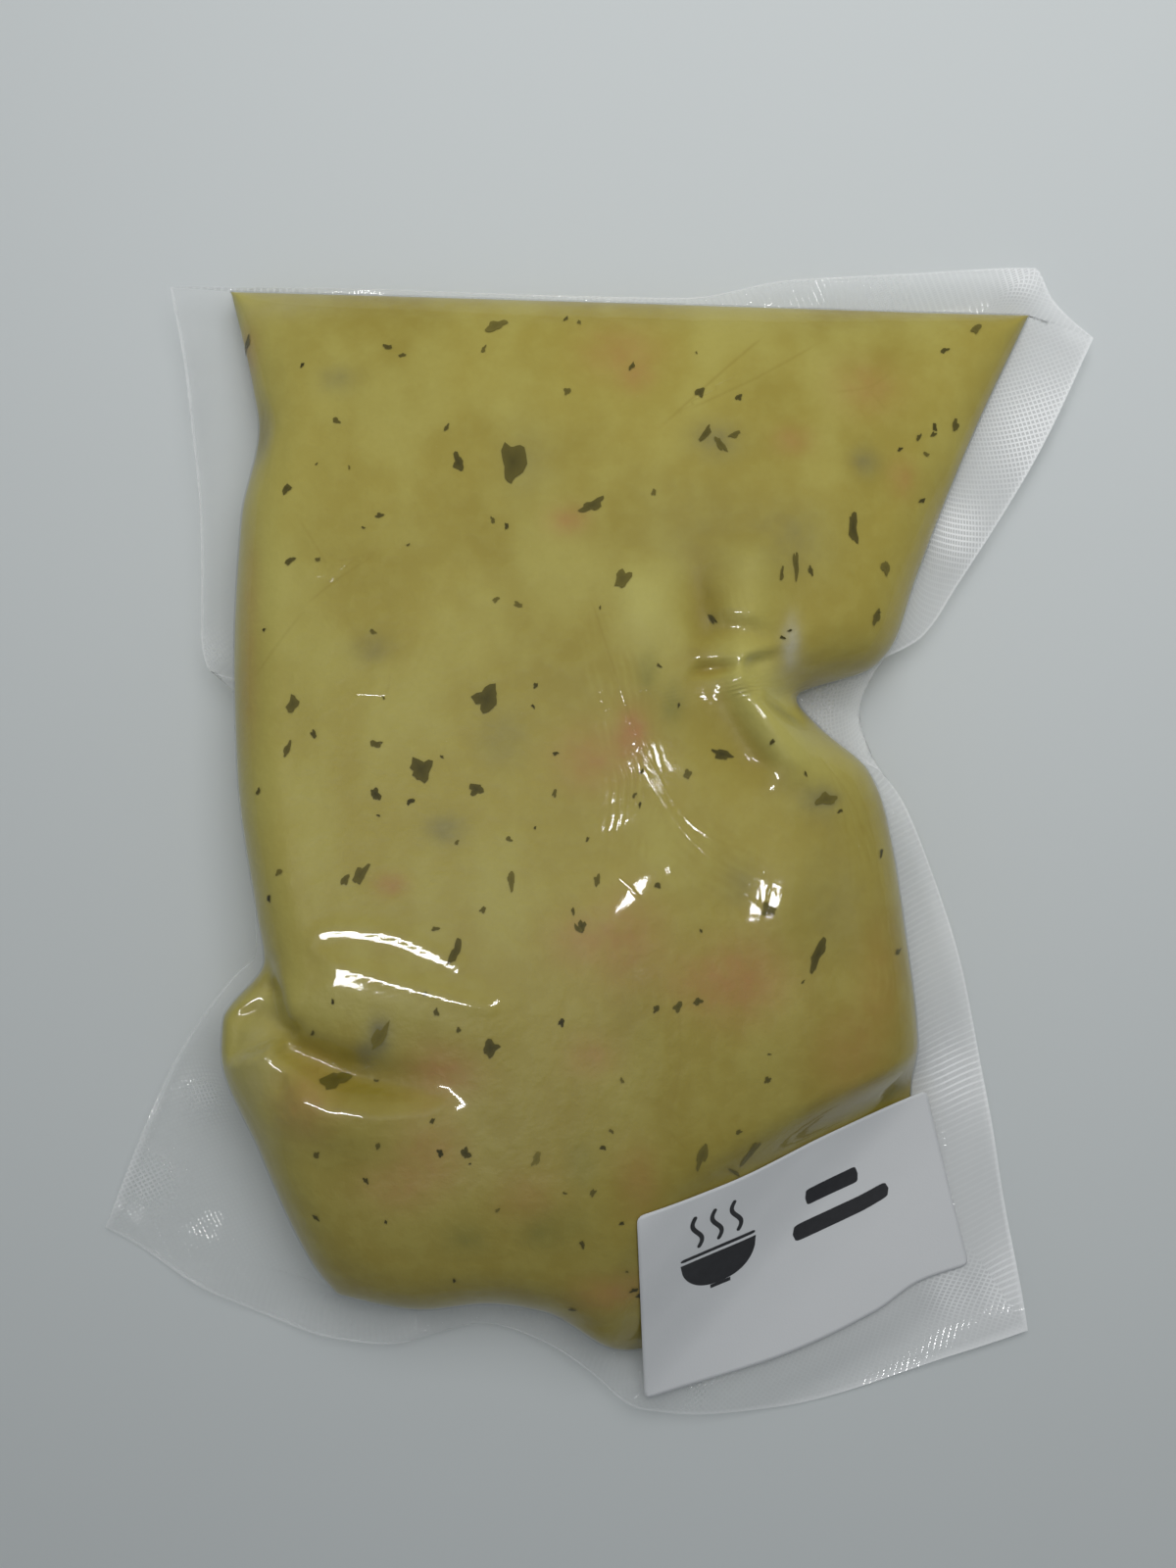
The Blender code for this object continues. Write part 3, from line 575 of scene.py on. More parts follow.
def label_cover(places):
    """1 under the label, falling to 0 at its reach beyond the edges."""
    edge = label_edge()
    away, _ = distance_to(edge, places)
    return np.where(inside(edge, places), 1.0, 1 - eased(away / LABEL_REACH))


def nearest_on(places, route):
    """For each place: distance to a curved route, share along it, and which side it lies on."""
    route = np.array(route)
    reach = np.concatenate(([0], np.cumsum(np.hypot(*np.diff(route, axis=0).T))))
    t = np.linspace(0, 1, ROUTE_SAMPLES)
    line = np.stack([smooth_line(reach, route[:, i], t * reach[-1]) for i in (0, 1)], -1)
    gap = np.hypot(places[:, None, 0] - line[None, :, 0], places[:, None, 1] - line[None, :, 1])
    nearest = gap.argmin(1)
    way = np.gradient(line, axis=0)[nearest]
    off = places - line[nearest]
    across = (way[:, 0] * off[:, 1] - way[:, 1] * off[:, 0]) / np.hypot(*way.T)
    return gap.min(1), t[nearest], across


def close_by(places, route, reach):
    """True for each place within the reach of a route's own box."""
    low, high = np.min(route, 0) - reach, np.max(route, 0) + reach
    return np.all((places > low) & (places < high), 1)


def end_fade(share, fades):
    """1 along the middle of a route and 0 at its ends, with a share for each to rise or fall over."""
    return eased(share / fades[0]) * eased((1 - share) / fades[1])


def fold_profile(places, route, half_widths, fades):
    """A soft ridge of height 1 along a route, and 1 on its left-hand side turning to 0 on its right."""
    profile, left = np.zeros(len(places)), np.zeros(len(places))
    near = close_by(places, route, FOLD_SIGHT * max(half_widths))
    gap, share, across = nearest_on(places[near], route)
    left[near] = 0.5 + 0.5 * np.tanh(across / SIDE_SOFTNESS)
    width = half_widths[1] + (half_widths[0] - half_widths[1]) * left[near]
    profile[near] = end_fade(share, fades) * np.exp(-((gap / width) ** 2))
    return profile, left


def step_profile(places, route, reach):
    """A step of height 1 on the left-hand side of a route, easing back to nothing at its reach."""
    profile = np.zeros(len(places))
    near = close_by(places, route, FOLD_SIGHT * reach)
    gap, share, across = nearest_on(places[near], route)
    low = 0.5 + 0.5 * np.tanh(np.sign(across) * gap / STEP_SOFTNESS)
    profile[near] = low * end_fade(share, STEP_FADES) * np.exp(-((gap / reach) ** 2))
    return profile


def lumps(places):
    """Low bumps where pieces of vegetable push the film up."""
    rng = np.random.default_rng(LUMP_SEED)
    total = np.zeros(len(places))
    for _ in range(LUMP_COUNT):
        centre = np.array([rng.uniform(*span) for span in LUMP_AREA])
        radius, height = rng.uniform(*LUMP_RADIUS), rng.uniform(-0.5, 1.0) * LUMP_HEIGHT
        total += height * np.exp(-(np.hypot(*(places - centre).T) / radius) ** 2)
    return total


def fill_heights(places, away):
    """Upper and lower heights of the filling, whose faces meet at its widest line."""
    cover = label_cover(places)
    crest = plain_height(places)
    relief = lumps(places)
    for route, half_widths, height, fades, _ in FOLDS.values():
        relief = relief + height * fold_profile(places, route, half_widths, fades)[0]
    for route, drop, reach in STEPS.values():
        relief = relief + drop * step_profile(places, route, reach)
    crest = crest + relief * (1 - cover) * eased(away / RELIEF_EDGE)
    under_label = label_height(places) - LABEL_GAP
    crest = crest - cover * np.maximum(crest - under_label, 0)
    widest = WIDEST_SHARE * crest
    upper = widest + (crest - widest) * quarter_round(away, SHOULDER)
    lower = widest * (1 - quarter_round(away, UNDERSIDE_ROUNDING))
    return upper, lower, widest


def closer_to_edges(t):
    """Moves evenly spaced shares towards both ends, where the surface turns down."""
    return EVEN_SHARE * t + (1 - EVEN_SHARE) * (0.5 - 0.5 * np.cos(math.pi * t))


def grid_sheet(cells, closeness):
    """A flat grid and the shares across and down of each of its corners."""
    sheet = bmesh.new()
    bmesh.ops.create_grid(sheet, x_segments=cells[0], y_segments=cells[1], size=0.5)
    flat = np.array([vert.co[:2] for vert in sheet.verts])
    across, down = np.clip(flat[:, 0] + 0.5, 0, 1), np.clip(0.5 - flat[:, 1], 0, 1)
    return sheet, closeness(across), closeness(down)


def fill_grid(cells):
    """A grid over the filling with its places and its upper and lower heights."""
    sheet, u, v = grid_sheet(cells, closer_to_edges)
    places = patch(*FILL, u, v)
    away = soft_distance(places)
    away[(np.minimum(u, v) < TINY) | (np.maximum(u, v) > 1 - TINY)] = 0
    upper, lower, _ = fill_heights(places, away)
    return sheet, places, upper, lower


def raise_sheet(sheet, places, heights):
    """Moves a grid's corners to their places and heights."""
    for vert, (x, y), z in zip(sheet.verts, places, heights):
        vert.co = (x, y, z)
    sheet.normal_update()


def close_sheets(sheet, places, upper, lower):
    """Turns a grid into a closed body between an upper and a lower height."""
    below = bmesh.ops.duplicate(sheet, geom=sheet.verts[:] + sheet.edges[:] + sheet.faces[:])
    copies = below["vert_map"]
    sheet.verts.ensure_lookup_table()
    tops = sheet.verts[: len(places)]
    for vert, (x, y), high, low in zip(tops, places, upper, lower):
        copies[vert].co = (x, y, low)
        vert.co = (x, y, high)
    lower_faces = [part for part in below["geom"] if isinstance(part, bmesh.types.BMFace)]
    bmesh.ops.reverse_faces(sheet, faces=lower_faces)
    rims = [edge for edge in sheet.edges if edge.is_boundary]
    bmesh.ops.bridge_loops(sheet, edges=rims)
    bmesh.ops.remove_doubles(sheet, verts=sheet.verts, dist=TINY)
    bmesh.ops.recalc_face_normals(sheet, faces=sheet.faces)
    if sheet.calc_volume(signed=True) < 0:
        bmesh.ops.reverse_faces(sheet, faces=sheet.faces)
    sheet.normal_update()


def place_piece(name, body, finish, nodes=()):
    """A named piece made from a bmesh, which rides on the pouch and may stand for CAD nodes."""
    mesh = bpy.data.meshes.new(name)
    body.to_mesh(mesh)
    body.free()
    mesh.shade_smooth()
    made = bpy.data.objects.new(name, mesh)
    mesh.materials.append(finish)
    bpy.context.scene.collection.objects.link(made)
    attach(made, "root")
    if nodes:
        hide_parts(*nodes)
    return made


def mesh_places(mesh):
    """Where a mesh's corners are, from above."""
    flat = np.zeros(len(mesh.vertices) * 3)
    mesh.vertices.foreach_get("co", flat)
    return flat.reshape(-1, 3)[:, :2]


def store(mesh, name, values):
    """Keeps one number for each corner, for a material to read."""
    mesh.attributes.new(name, "FLOAT", "POINT").data.foreach_set("value", values.astype(np.float32))


def store_colours(mesh, name, colours):
    """Keeps one colour with its strength for each corner, for a material to read."""
    attribute = mesh.attributes.new(name, "FLOAT_COLOR", "POINT")
    attribute.data.foreach_set("color", colours.astype(np.float32).ravel())


def store_film_lines(mesh):
    """Keeps the distance to the nearest crease and the count of wrinkles, with their depths."""
    places = mesh_places(mesh)
    crease_off, crease_depth = np.zeros(len(places)), np.zeros(len(places))
    best = np.full(len(places), CREASE_REACH)
    for route, depth in CREASES:
        near = np.flatnonzero(close_by(places, route, CREASE_REACH))
        gap, share, across = nearest_on(places[near], route)
        closer = gap < best[near]
        at = near[closer]
        best[at] = gap[closer]
        crease_off[at] = across[closer]
        ends = eased(np.minimum(share, 1 - share)[closer] * 6)
        crease_depth[at] = depth * ends * (1 - eased(gap[closer] / CREASE_REACH))
    store(mesh, "crease_off", crease_off)
    store(mesh, "crease_depth", crease_depth)
    phase, strength = np.zeros(len(places)), np.zeros(len(places))
    for route, half_width, spacing, depth in PLEATS:
        near = np.flatnonzero(close_by(places, route, 2 * half_width))
        gap, share, across = nearest_on(places[near], route)
        here = depth * eased(np.minimum(share, 1 - share) * 5) * np.exp(-((gap / half_width) ** 4))
        stronger = here > strength[near]
        strength[near[stronger]] = here[stronger]
        phase[near[stronger]] = across[stronger] / spacing + share[stronger] * 1.3
    store(mesh, "pleat_phase", phase)
    store(mesh, "pleat_depth", strength)


def store_filling(mesh, colours):
    """Keeps the chowder's fold colour, partly broth and partly painted shade and light, and the colours of
    what shows in it.
    """
    places = mesh_places(mesh)
    broth_and_fold_shading = np.zeros(len(places))
    for route, half_widths, _, fades, shades in FOLDS.values():
        profile, left = fold_profile(places, route, half_widths, fades)
        broth_and_fold_shading = broth_and_fold_shading + profile * (shades[1] + (shades[0] - shades[1]) * left)
    store(mesh, "broth_and_fold_shading", np.clip(broth_and_fold_shading, -1, 1))
    stain = np.zeros((len(places), 4))
    for x, y, across, up, finish, strength in CLOUDS:
        off = (places * MILLIMETRES - np.array([x, y])) / np.array([across, up])
        share = strength * np.exp(-np.sum(off**2, 1))
        total = stain[:, 3] + share * (1 - stain[:, 3])
        mix = np.divide(share, np.maximum(total, TINY))[:, None]
        stain[:, :3] = stain[:, :3] * (1 - mix) + np.array(getattr(colours, finish)) * mix
        stain[:, 3] = total
    store_colours(mesh, "stain", stain)


def add_node(tree, kind, inputs=None, **settings):
    """A shader node with its settings, and its inputs given as values or as sockets to link."""
    made = tree.nodes.new(kind)
    for name, value in settings.items():
        setattr(made, name, value)
    for name, value in (inputs or {}).items():
        if isinstance(value, bpy.types.NodeSocket):
            tree.links.new(value, made.inputs[name])
        else:
            made.inputs[name].default_value = value
    return made


def new_material(name):
    """A material with its node tree."""
    made = bpy.data.materials.new(name)
    made.use_nodes = True
    return made, made.node_tree


def set_surface(tree, base, roughness, specular=0.5, normal=None):
    """Gives the Principled shader its colour and gloss, and its bump where there is one."""
    shader = tree.nodes["Principled BSDF"]
    tree.links.new(base, shader.inputs["Base Color"])
    shader.inputs["Roughness"].default_value = roughness
    shader.inputs["Specular IOR Level"].default_value = specular
    if normal is not None:
        tree.links.new(normal, shader.inputs["Normal"])


def bumped(tree, height, distance, strength=1.0):
    """The normals of a relief that is too fine for the mesh."""
    made = add_node(tree, "ShaderNodeBump", {"Height": height, "Distance": distance, "Strength": strength})
    return made.outputs["Normal"]


def object_place(tree):
    """The place on the piece, in its own metres."""
    return add_node(tree, "ShaderNodeTexCoord").outputs["Object"]


def split(tree, vector):
    """The X, Y and Z of a vector."""
    return add_node(tree, "ShaderNodeSeparateXYZ", {"Vector": vector}).outputs


def object_noise(tree, scale, detail=2.0, stretch=(1, 1, 1)):
    """Noise in the piece's own metres, so many to the metre."""
    mapped = add_node(tree, "ShaderNodeMapping", {"Vector": object_place(tree), "Scale": stretch})
    noise = add_node(
        tree, "ShaderNodeTexNoise", {"Vector": mapped.outputs["Vector"], "Scale": scale, "Detail": detail}
    )
    return noise.outputs["Fac"]


def read(tree, name, output="Fac"):
    """One of the mesh's own stored values."""
    return add_node(tree, "ShaderNodeAttribute", attribute_name=name).outputs[output]


def maths(tree, operation, *values, clamp=False):
    """One step of arithmetic on values or sockets."""
    made = add_node(tree, "ShaderNodeMath", operation=operation, use_clamp=clamp)
    for place, value in enumerate(values):
        if isinstance(value, bpy.types.NodeSocket):
            tree.links.new(value, made.inputs[place])
        else:
            made.inputs[place].default_value = value
    return made.outputs[0]


def blend_colours(tree, share, low, high):
    """A mix of two colours, each a value or a socket."""
    made = add_node(tree, "ShaderNodeMix", data_type="RGBA")
    for place, value in ((0, share), (6, low), (7, high)):
        if isinstance(value, bpy.types.NodeSocket):
            tree.links.new(value, made.inputs[place])
        else:
            made.inputs[place].default_value = value if place == 0 else (*value[:3], 1)
    return made.outputs[2]


def mottled(tree, scale, detail, colour, change):
    """A colour that drifts in soft patches to a share of itself."""
    return blend_colours(tree, object_noise(tree, scale, detail), colour, [c * change for c in colour])


def ramp(tree, share, low, high):
    """A share stretched so that low becomes 0 and high becomes 1."""
    made = add_node(
        tree, "ShaderNodeMapRange", {"Value": share, "From Min": low, "From Max": high}, clamp=True,
        interpolation_type="SMOOTHSTEP",
    )
    return made.outputs["Result"]


def crease_lines(tree):
    """Height of the fine creases, from 0 to 1, read from the mesh."""
    off = maths(tree, "DIVIDE", read(tree, "crease_off"), CREASE_WIDTH)
    bell = maths(tree, "POWER", math.e, maths(tree, "MULTIPLY", maths(tree, "MULTIPLY", off, off), -1.0))
    return maths(tree, "MULTIPLY", bell, read(tree, "crease_depth"))


def pleat_lines(tree):
    """Height of the fine wrinkles, from -1 to 1, read from the mesh."""
    wander = maths(tree, "MULTIPLY_ADD", object_noise(tree, 95, 2.0), 2.2, read(tree, "pleat_phase"))
    waves = maths(tree, "SINE", maths(tree, "MULTIPLY", wander, 2 * math.pi))
    patchy = ramp(tree, object_noise(tree, 140, 1.0), 0.42, 0.62)
    return maths(tree, "MULTIPLY", maths(tree, "MULTIPLY", waves, patchy), read(tree, "pleat_depth"))


def chowder_material(colours):
    """Thick yellow chowder, mottled, with clouds of what is in it."""
    made, tree = new_material("chowder")
    broad = ramp(tree, object_noise(tree, 22, 3.0), 0.40, 0.66)
    drift = ramp(tree, object_noise(tree, 48, 2.0, (1.0, 0.6, 1.0)), 0.45, 0.68)
    pulp = ramp(tree, object_noise(tree, 260, 4.0), 0.35, 0.70)
    grain = object_noise(tree, 900, 2.0)
    base = blend_colours(tree, maths(tree, "MULTIPLY", broad, 0.38), colours.chowder, colours.amber)
    base = blend_colours(tree, maths(tree, "MULTIPLY", drift, 0.42), base, colours.pale)
    place = split(tree, object_place(tree))
    # Painted shade: the chowder is drawn darker and more amber towards the bottom.
    painted_shade_low = maths(tree, "MULTIPLY_ADD", place["Y"], -7.5, -0.02, clamp=True)
    base = blend_colours(tree, painted_shade_low, base, colours.amber)
    # The chowder turns paler towards its left side.
    paler_leftwards = maths(tree, "MULTIPLY_ADD", place["X"], -20.0, -1.00, clamp=True)
    base = blend_colours(tree, paler_leftwards, base, colours.pale)
    base = blend_colours(tree, maths(tree, "MULTIPLY", pulp, 0.14), base, colours.pale)
    # Darker in the folds and paler on the ridges: partly broth gathered in the folds, partly painted shade
    # and painted light.
    broth_and_fold_shading = read(tree, "broth_and_fold_shading")
    base = blend_colours(tree, maths(tree, "MULTIPLY", broth_and_fold_shading, 0.75, clamp=True), base, colours.pale)
    base = blend_colours(tree, maths(tree, "MULTIPLY", broth_and_fold_shading, -0.80, clamp=True), base, colours.deep)
    stain = add_node(tree, "ShaderNodeAttribute", attribute_name="stain")
    ragged = maths(tree, "MULTIPLY_ADD", object_noise(tree, 330, 3.0), 1.1, 0.45)
    share = maths(tree, "MULTIPLY", stain.outputs["Alpha"], ragged, clamp=True)
    base = blend_colours(tree, share, base, stain.outputs["Color"])
    # Painted shade and light: the chowder is drawn darker along the fine creases and in stripes along the
    # wrinkles, and paler in the stripes between.
    creases = maths(tree, "MULTIPLY", crease_lines(tree), 0.30)
    painted_crease_shading = maths(tree, "ADD", creases, maths(tree, "MULTIPLY", pleat_lines(tree), 0.10))
    base = blend_colours(tree, maths(tree, "MULTIPLY", painted_crease_shading, 1.0, clamp=True), base, colours.deep)
    base = blend_colours(tree, maths(tree, "MULTIPLY", painted_crease_shading, -1.0, clamp=True), base, colours.pale)
    base = blend_colours(tree, maths(tree, "MULTIPLY_ADD", grain, 0.16, -0.04), base, colours.amber)
    set_surface(tree, base, 0.45, 0.3, bumped(tree, pulp, 0.0002, 0.35))
    return made


def clear_film(tree, tint, haze_and_sheen, normal):
    """A clear glossy skin: light passes straight through, some is scattered, and some mirrors. On the
    margins the scattered share also carries painted sheen, glints and edge highlights.
    """
    tree.nodes.remove(tree.nodes["Principled BSDF"])
    clear = add_node(tree, "ShaderNodeBsdfTransparent", {"Color": (*tint[:3], 1)})
    milk = add_node(tree, "ShaderNodeBsdfDiffuse", {"Color": (0.95, 0.96, 0.96, 1)})
    body = add_node(tree, "ShaderNodeMixShader", {"Fac": haze_and_sheen, 1: clear.outputs[0], 2: milk.outputs[0]})
    gloss = add_node(tree, "ShaderNodeBsdfGlossy", {"Roughness": 0.06, "Normal": normal})
    facing = add_node(tree, "ShaderNodeLayerWeight", {"Blend": 0.5, "Normal": normal}).outputs["Facing"]
    edge = maths(tree, "MULTIPLY_ADD", maths(tree, "POWER", facing, 5.0), 0.96, 0.04)
    skin = add_node(tree, "ShaderNodeMixShader", {"Fac": edge, 1: body.outputs[0], 2: gloss.outputs[0]})
    tree.links.new(skin.outputs[0], tree.nodes["Material Output"].inputs["Surface"])


def front_film_material(colours):
    """The film over the filling, with its creases and fine wrinkles."""
    made, tree = new_material("front_film")
    ripple = object_noise(tree, 120, 2.0)
    crinkle = object_noise(tree, 700, 2.0)
    height = maths(tree, "MULTIPLY_ADD", pleat_lines(tree), 0.12, crease_lines(tree))
    height = maths(tree, "MULTIPLY_ADD", ripple, 0.8, height)
    height = maths(tree, "MULTIPLY_ADD", crinkle, 0.09, height)
    clear_film(tree, colours.film, 0.004, bumped(tree, height, 0.00012))
    return made


def plain_film_material(colours):
    """The film under the filling."""
    made, tree = new_material("back_film")
    clear_film(tree, colours.film, 0.02, bumped(tree, object_noise(tree, 90, 2.0), 0.0002, 0.6))
    return made


def margin_material(colours, sizes):
    """The empty margins: two films together, embossed with diamonds.

    Known fault: the emboss and the haze take their share from the UV map itself, so they grow with the
    run round the pouch from its upper left corner, and aren't kept to the sealed strips. The strengths
    below were matched with that.
    """
    made, tree = new_material("sealed_margin")
    along = split(tree, add_node(tree, "ShaderNodeUVMap", uv_map="seal").outputs["UV"])
    turns = 2 * math.pi / sizes.seal_pitch
    waves = []
    for way in (1.0, -1.0):
        slant = maths(tree, "MULTIPLY_ADD", along["Y"], way, along["X"])
        waves.append(maths(tree, "SINE", maths(tree, "MULTIPLY", slant, turns)))
    seal = read(tree, "seal")
    emboss = maths(tree, "MULTIPLY", maths(tree, "MAXIMUM", *waves), seal, clamp=True)
    ripple = object_noise(tree, 60, 3.0)
    place = object_place(tree)
    (x, y), radius, width = PRESSED_RING
    off = add_node(tree, "ShaderNodeVectorMath", {0: place, 1: (x, y, 0.0)}, operation="DISTANCE")
    ring = maths(tree, "ABSOLUTE", maths(tree, "SUBTRACT", off.outputs["Value"], radius))
    ring = maths(tree, "MULTIPLY_ADD", ring, -1 / width, 1.0, clamp=True)
    glare = read(tree, "glare")
    relief = maths(tree, "MULTIPLY_ADD", glare, 1.2, 0.55)
    height = maths(tree, "MULTIPLY_ADD", ripple, 2.6, maths(tree, "MULTIPLY", emboss, relief))
    height = maths(tree, "MULTIPLY_ADD", ring, 0.8, height)
    haze_and_sheen = maths(tree, "MULTIPLY_ADD", seal, 0.06, 0.10)
    # The embossed diamonds are drawn a little whiter all round the seals, and much whiter at the glare
    # spots, which is a painted glint.
    haze_and_sheen = maths(tree, "MULTIPLY_ADD", emboss, 0.08, haze_and_sheen)
    haze_and_sheen = maths(tree, "MULTIPLY_ADD", glare, maths(tree, "MULTIPLY_ADD", emboss, 0.9, 0.12), haze_and_sheen)
    haze_and_sheen = maths(tree, "MULTIPLY_ADD", ring, 0.18, haze_and_sheen)
    # Painted sheen: the margins are drawn whiter towards the right and the bottom, for room light mirrored
    # in the film.
    sides = split(tree, place)
    lower = maths(tree, "MULTIPLY_ADD", sides["Y"], -1.6, -0.2)
    painted_sheen = maths(tree, "MULTIPLY_ADD", sides["X"], 8.0, lower, clamp=True)
    haze_and_sheen = maths(tree, "MULTIPLY_ADD", painted_sheen, 0.80, haze_and_sheen)
    # Painted highlight: the film is drawn whiter along its cut edge.
    haze_and_sheen = maths(tree, "MULTIPLY_ADD", read(tree, "cut_edge"), 0.30, haze_and_sheen, clamp=True)
    clear_film(tree, colours.film, haze_and_sheen, bumped(tree, height, 0.0002))
    return made


def herb_material(colours):
    """Wet dark herb flakes, some of them veiled by chowder."""
    made, tree = new_material("herbs")
    mottle = object_noise(tree, 1500, 3.0)
    leaf = blend_colours(tree, mottle, [c * 0.7 for c in colours.herb], [c * 1.5 for c in colours.herb])
    base = blend_colours(tree, read(tree, "veil"), leaf, colours.chowder)
    set_surface(tree, base, 0.5, 0.1)
    return made


def paper_material(colours):
    """Smooth white label paper with a faint tooth and soft cockles."""
    made, tree = new_material("label_paper")
    shade = mottled(tree, 40, 2.0, colours.paper, 0.96)
    tooth = maths(tree, "MULTIPLY_ADD", object_noise(tree, 60, 2.0), 6.0, object_noise(tree, 2500, 2.0))
    set_surface(tree, shade, 0.55, normal=bumped(tree, tooth, 0.00004, 0.6))
    return made


def ink_material(colours):
    """Flat black print."""
    made, tree = new_material("label_ink")
    set_surface(tree, mottled(tree, 800, 2.0, colours.ink, 2.0), 0.5)
    return made


def floor_material(colours):
    """A plain pale surface."""
    made, tree = new_material("floor")
    set_surface(tree, mottled(tree, 5, 3.0, colours.floor, 0.97), 0.7, 0.2)
    return made


class BuildChowder(bpy.types.Operator):
    """Makes the chowder that fills the pouch"""

    bl_idname = "pouch.chowder"
    bl_label = "Chowder"

    def execute(self, context):
        sizes, colours = context.scene.pouch_sizes, context.scene.pouch_colours
        sheet, places, upper, lower = fill_grid(FILL_GRID)
        close_sheets(sheet, places, upper, lower)
        inward = [(vert, vert.normal.copy()) for vert in sheet.verts]
        for vert, way in inward:
            vert.co -= way * sizes.film_gap
        made = place_piece("chowder", sheet, chowder_material(colours), ["pouch"])
        store_filling(made.data, colours)
        store_film_lines(made.data)
        return {"FINISHED"}


class BuildFrontFilm(bpy.types.Operator):
    """Makes the clear film over the filling"""

    bl_idname = "pouch.front_film"
    bl_label = "Front film"

    def execute(self, context):
        colours = context.scene.pouch_colours
        sheet, places, upper, _ = fill_grid(FILL_GRID)
        raise_sheet(sheet, places, upper)
        made = place_piece("front_film", sheet, front_film_material(colours), ["pouch"])
        store_film_lines(made.data)
        return {"FINISHED"}


class BuildBackFilm(bpy.types.Operator):
    """Makes the clear film under the filling"""

    bl_idname = "pouch.back_film"
    bl_label = "Back film"

    def execute(self, context):
        colours = context.scene.pouch_colours
        sheet, places, _, lower = fill_grid(BACK_GRID)
        raise_sheet(sheet, places, lower)
        bmesh.ops.reverse_faces(sheet, faces=sheet.faces)
        place_piece("back_film", sheet, plain_film_material(colours), ["pouch"])
        return {"FINISHED"}


def margin_heights(places, u, v, rim):
    """Heights of the empty margins, which fall from the filling's widest line to the floor."""
    fill_edge = closed_edge(*FILL)
    away, nearest = distance_to(fill_edge, places)
    away[inside(fill_edge, places)] = 0
    corners = MARGIN_CORNERS
    free = (
        corners["top_left"] * (1 - u) * (1 - v)
        + corners["top_right"] * u * (1 - v)
        + corners["bottom_left"] * (1 - u) * v
        + corners["bottom_right"] * u * v
    )
    waves = np.sin(2 * math.pi * (places[:, 0] - places[:, 1]) / MARGIN_WAVE_LENGTH)
    free = free + MARGIN_WAVE * waves * (away > 0)
    height = free + (rim[nearest] - free) * np.exp(-away / MARGIN_FALL)
    cover = label_cover(places) * (1 - np.exp(-away / MARGIN_FALL))
    height = height + cover * (label_height(places) - LABEL_GAP - height)
    return np.maximum(height, LOWEST_MARGIN)


class BuildMargins(bpy.types.Operator):
    """Makes the empty film margins with their emboss"""

    bl_idname = "pouch.margins"
    bl_label = "Sealed margins"

    def execute(self, context):
        sizes, colours = context.scene.pouch_sizes, context.scene.pouch_colours
        round_count = 4 * EDGE_SAMPLES
        ring, across, down = grid_sheet((round_count, MARGIN_CELLS), lambda t: t)
        place = np.rint(across * round_count).astype(int) % round_count
        u, v = (shares[place] for shares in edge_shares())
        fill_edge, film_edge = closed_edge(*FILL), closed_edge(*FILM)
        places = fill_edge[place] * (1 - down[:, None]) + film_edge[place] * down[:, None]
        rim = fill_heights(fill_edge, np.zeros(round_count))[2]
        heights = margin_heights(places, u, v, rim)
        steps = np.hypot(*(np.roll(film_edge, -1, axis=0) - film_edge).T)
        run = np.concatenate(([0], np.cumsum(steps)))[np.rint(across * round_count).astype(int)]
        inset = (1 - down) * np.hypot(*(film_edge - fill_edge)[place].T)
        layer = ring.loops.layers.uv.new("seal")
        ring.verts.index_update()
        for face in ring.faces:
            for loop in face.loops:
                loop[layer].uv = (run[loop.vert.index], inset[loop.vert.index])
        raise_sheet(ring, places, heights)
        bmesh.ops.recalc_face_normals(ring, faces=ring.faces)
        made = place_piece("sealed_margins", ring, margin_material(colours, sizes), ["pouch"])
        glare = sum(np.exp(-(np.hypot(*(places - spot).T) / reach) ** 2) for spot, reach in SEAL_GLARES)
        store(made.data, "glare", np.minimum(glare, 1))
        store(made.data, "cut_edge", 1 - eased(inset / CUT_EDGE_WIDTH))
        return {"FINISHED"}


def drop_to(surface, x, y, gap):
    """A point just under a surface seen from above, or None off its edge."""
    hit, normal, _, _ = surface.ray_cast(Vector((x, y, 0.2)), Vector((0, 0, -1)))
    if hit is None:
        return None
    return hit - normal * gap if normal.z > 0 else hit + normal * gap


def add_flake(flakes, surface, leaf, veil, rng):
    """One ragged flake that follows the surface it lies under, thinner towards its edge."""
    x, y, length, width, turn = leaf
    made = bmesh.ops.create_circle(
        flakes, cap_ends=True, cap_tris=True, segments=FLAKE_SIDES, radius=0.5
    )["verts"]
    heading = math.radians(turn)
    layer = flakes.verts.layers.float["veil"]
    lobes = [rng.uniform(0, 2 * math.pi) for _ in range(3)]
    for vert in made:
        angle = math.atan2(vert.co.y, vert.co.x)
        reach = 2 * vert.co.length
        lobed = sum(math.sin((2 + n) * angle + turned) for n, turned in enumerate(lobes))
        ragged = 1 + FLAKE_RAGGEDNESS * lobed
        ragged *= 1 + rng.uniform(-FLAKE_RAGGEDNESS, FLAKE_RAGGEDNESS)
        along = 0.5 * length * math.cos(angle) * ragged * reach
        side = 0.5 * width * math.sin(angle) * ragged * reach
        place = drop_to(
            surface,
            x + along * math.cos(heading) - side * math.sin(heading),
            y + along * math.sin(heading) + side * math.cos(heading),
            FLAKE_DEPTH,
        )
        if place is None:
            bmesh.ops.delete(flakes, geom=made, context="VERTS")
            return
        vert.co = place
        vert[layer] = min(1, 0.6 * veil + 0.12 * reach**3)
    for face in {face for vert in made for face in vert.link_faces}:
        face.normal_update()
        if face.normal.z < 0:
            face.normal_flip()


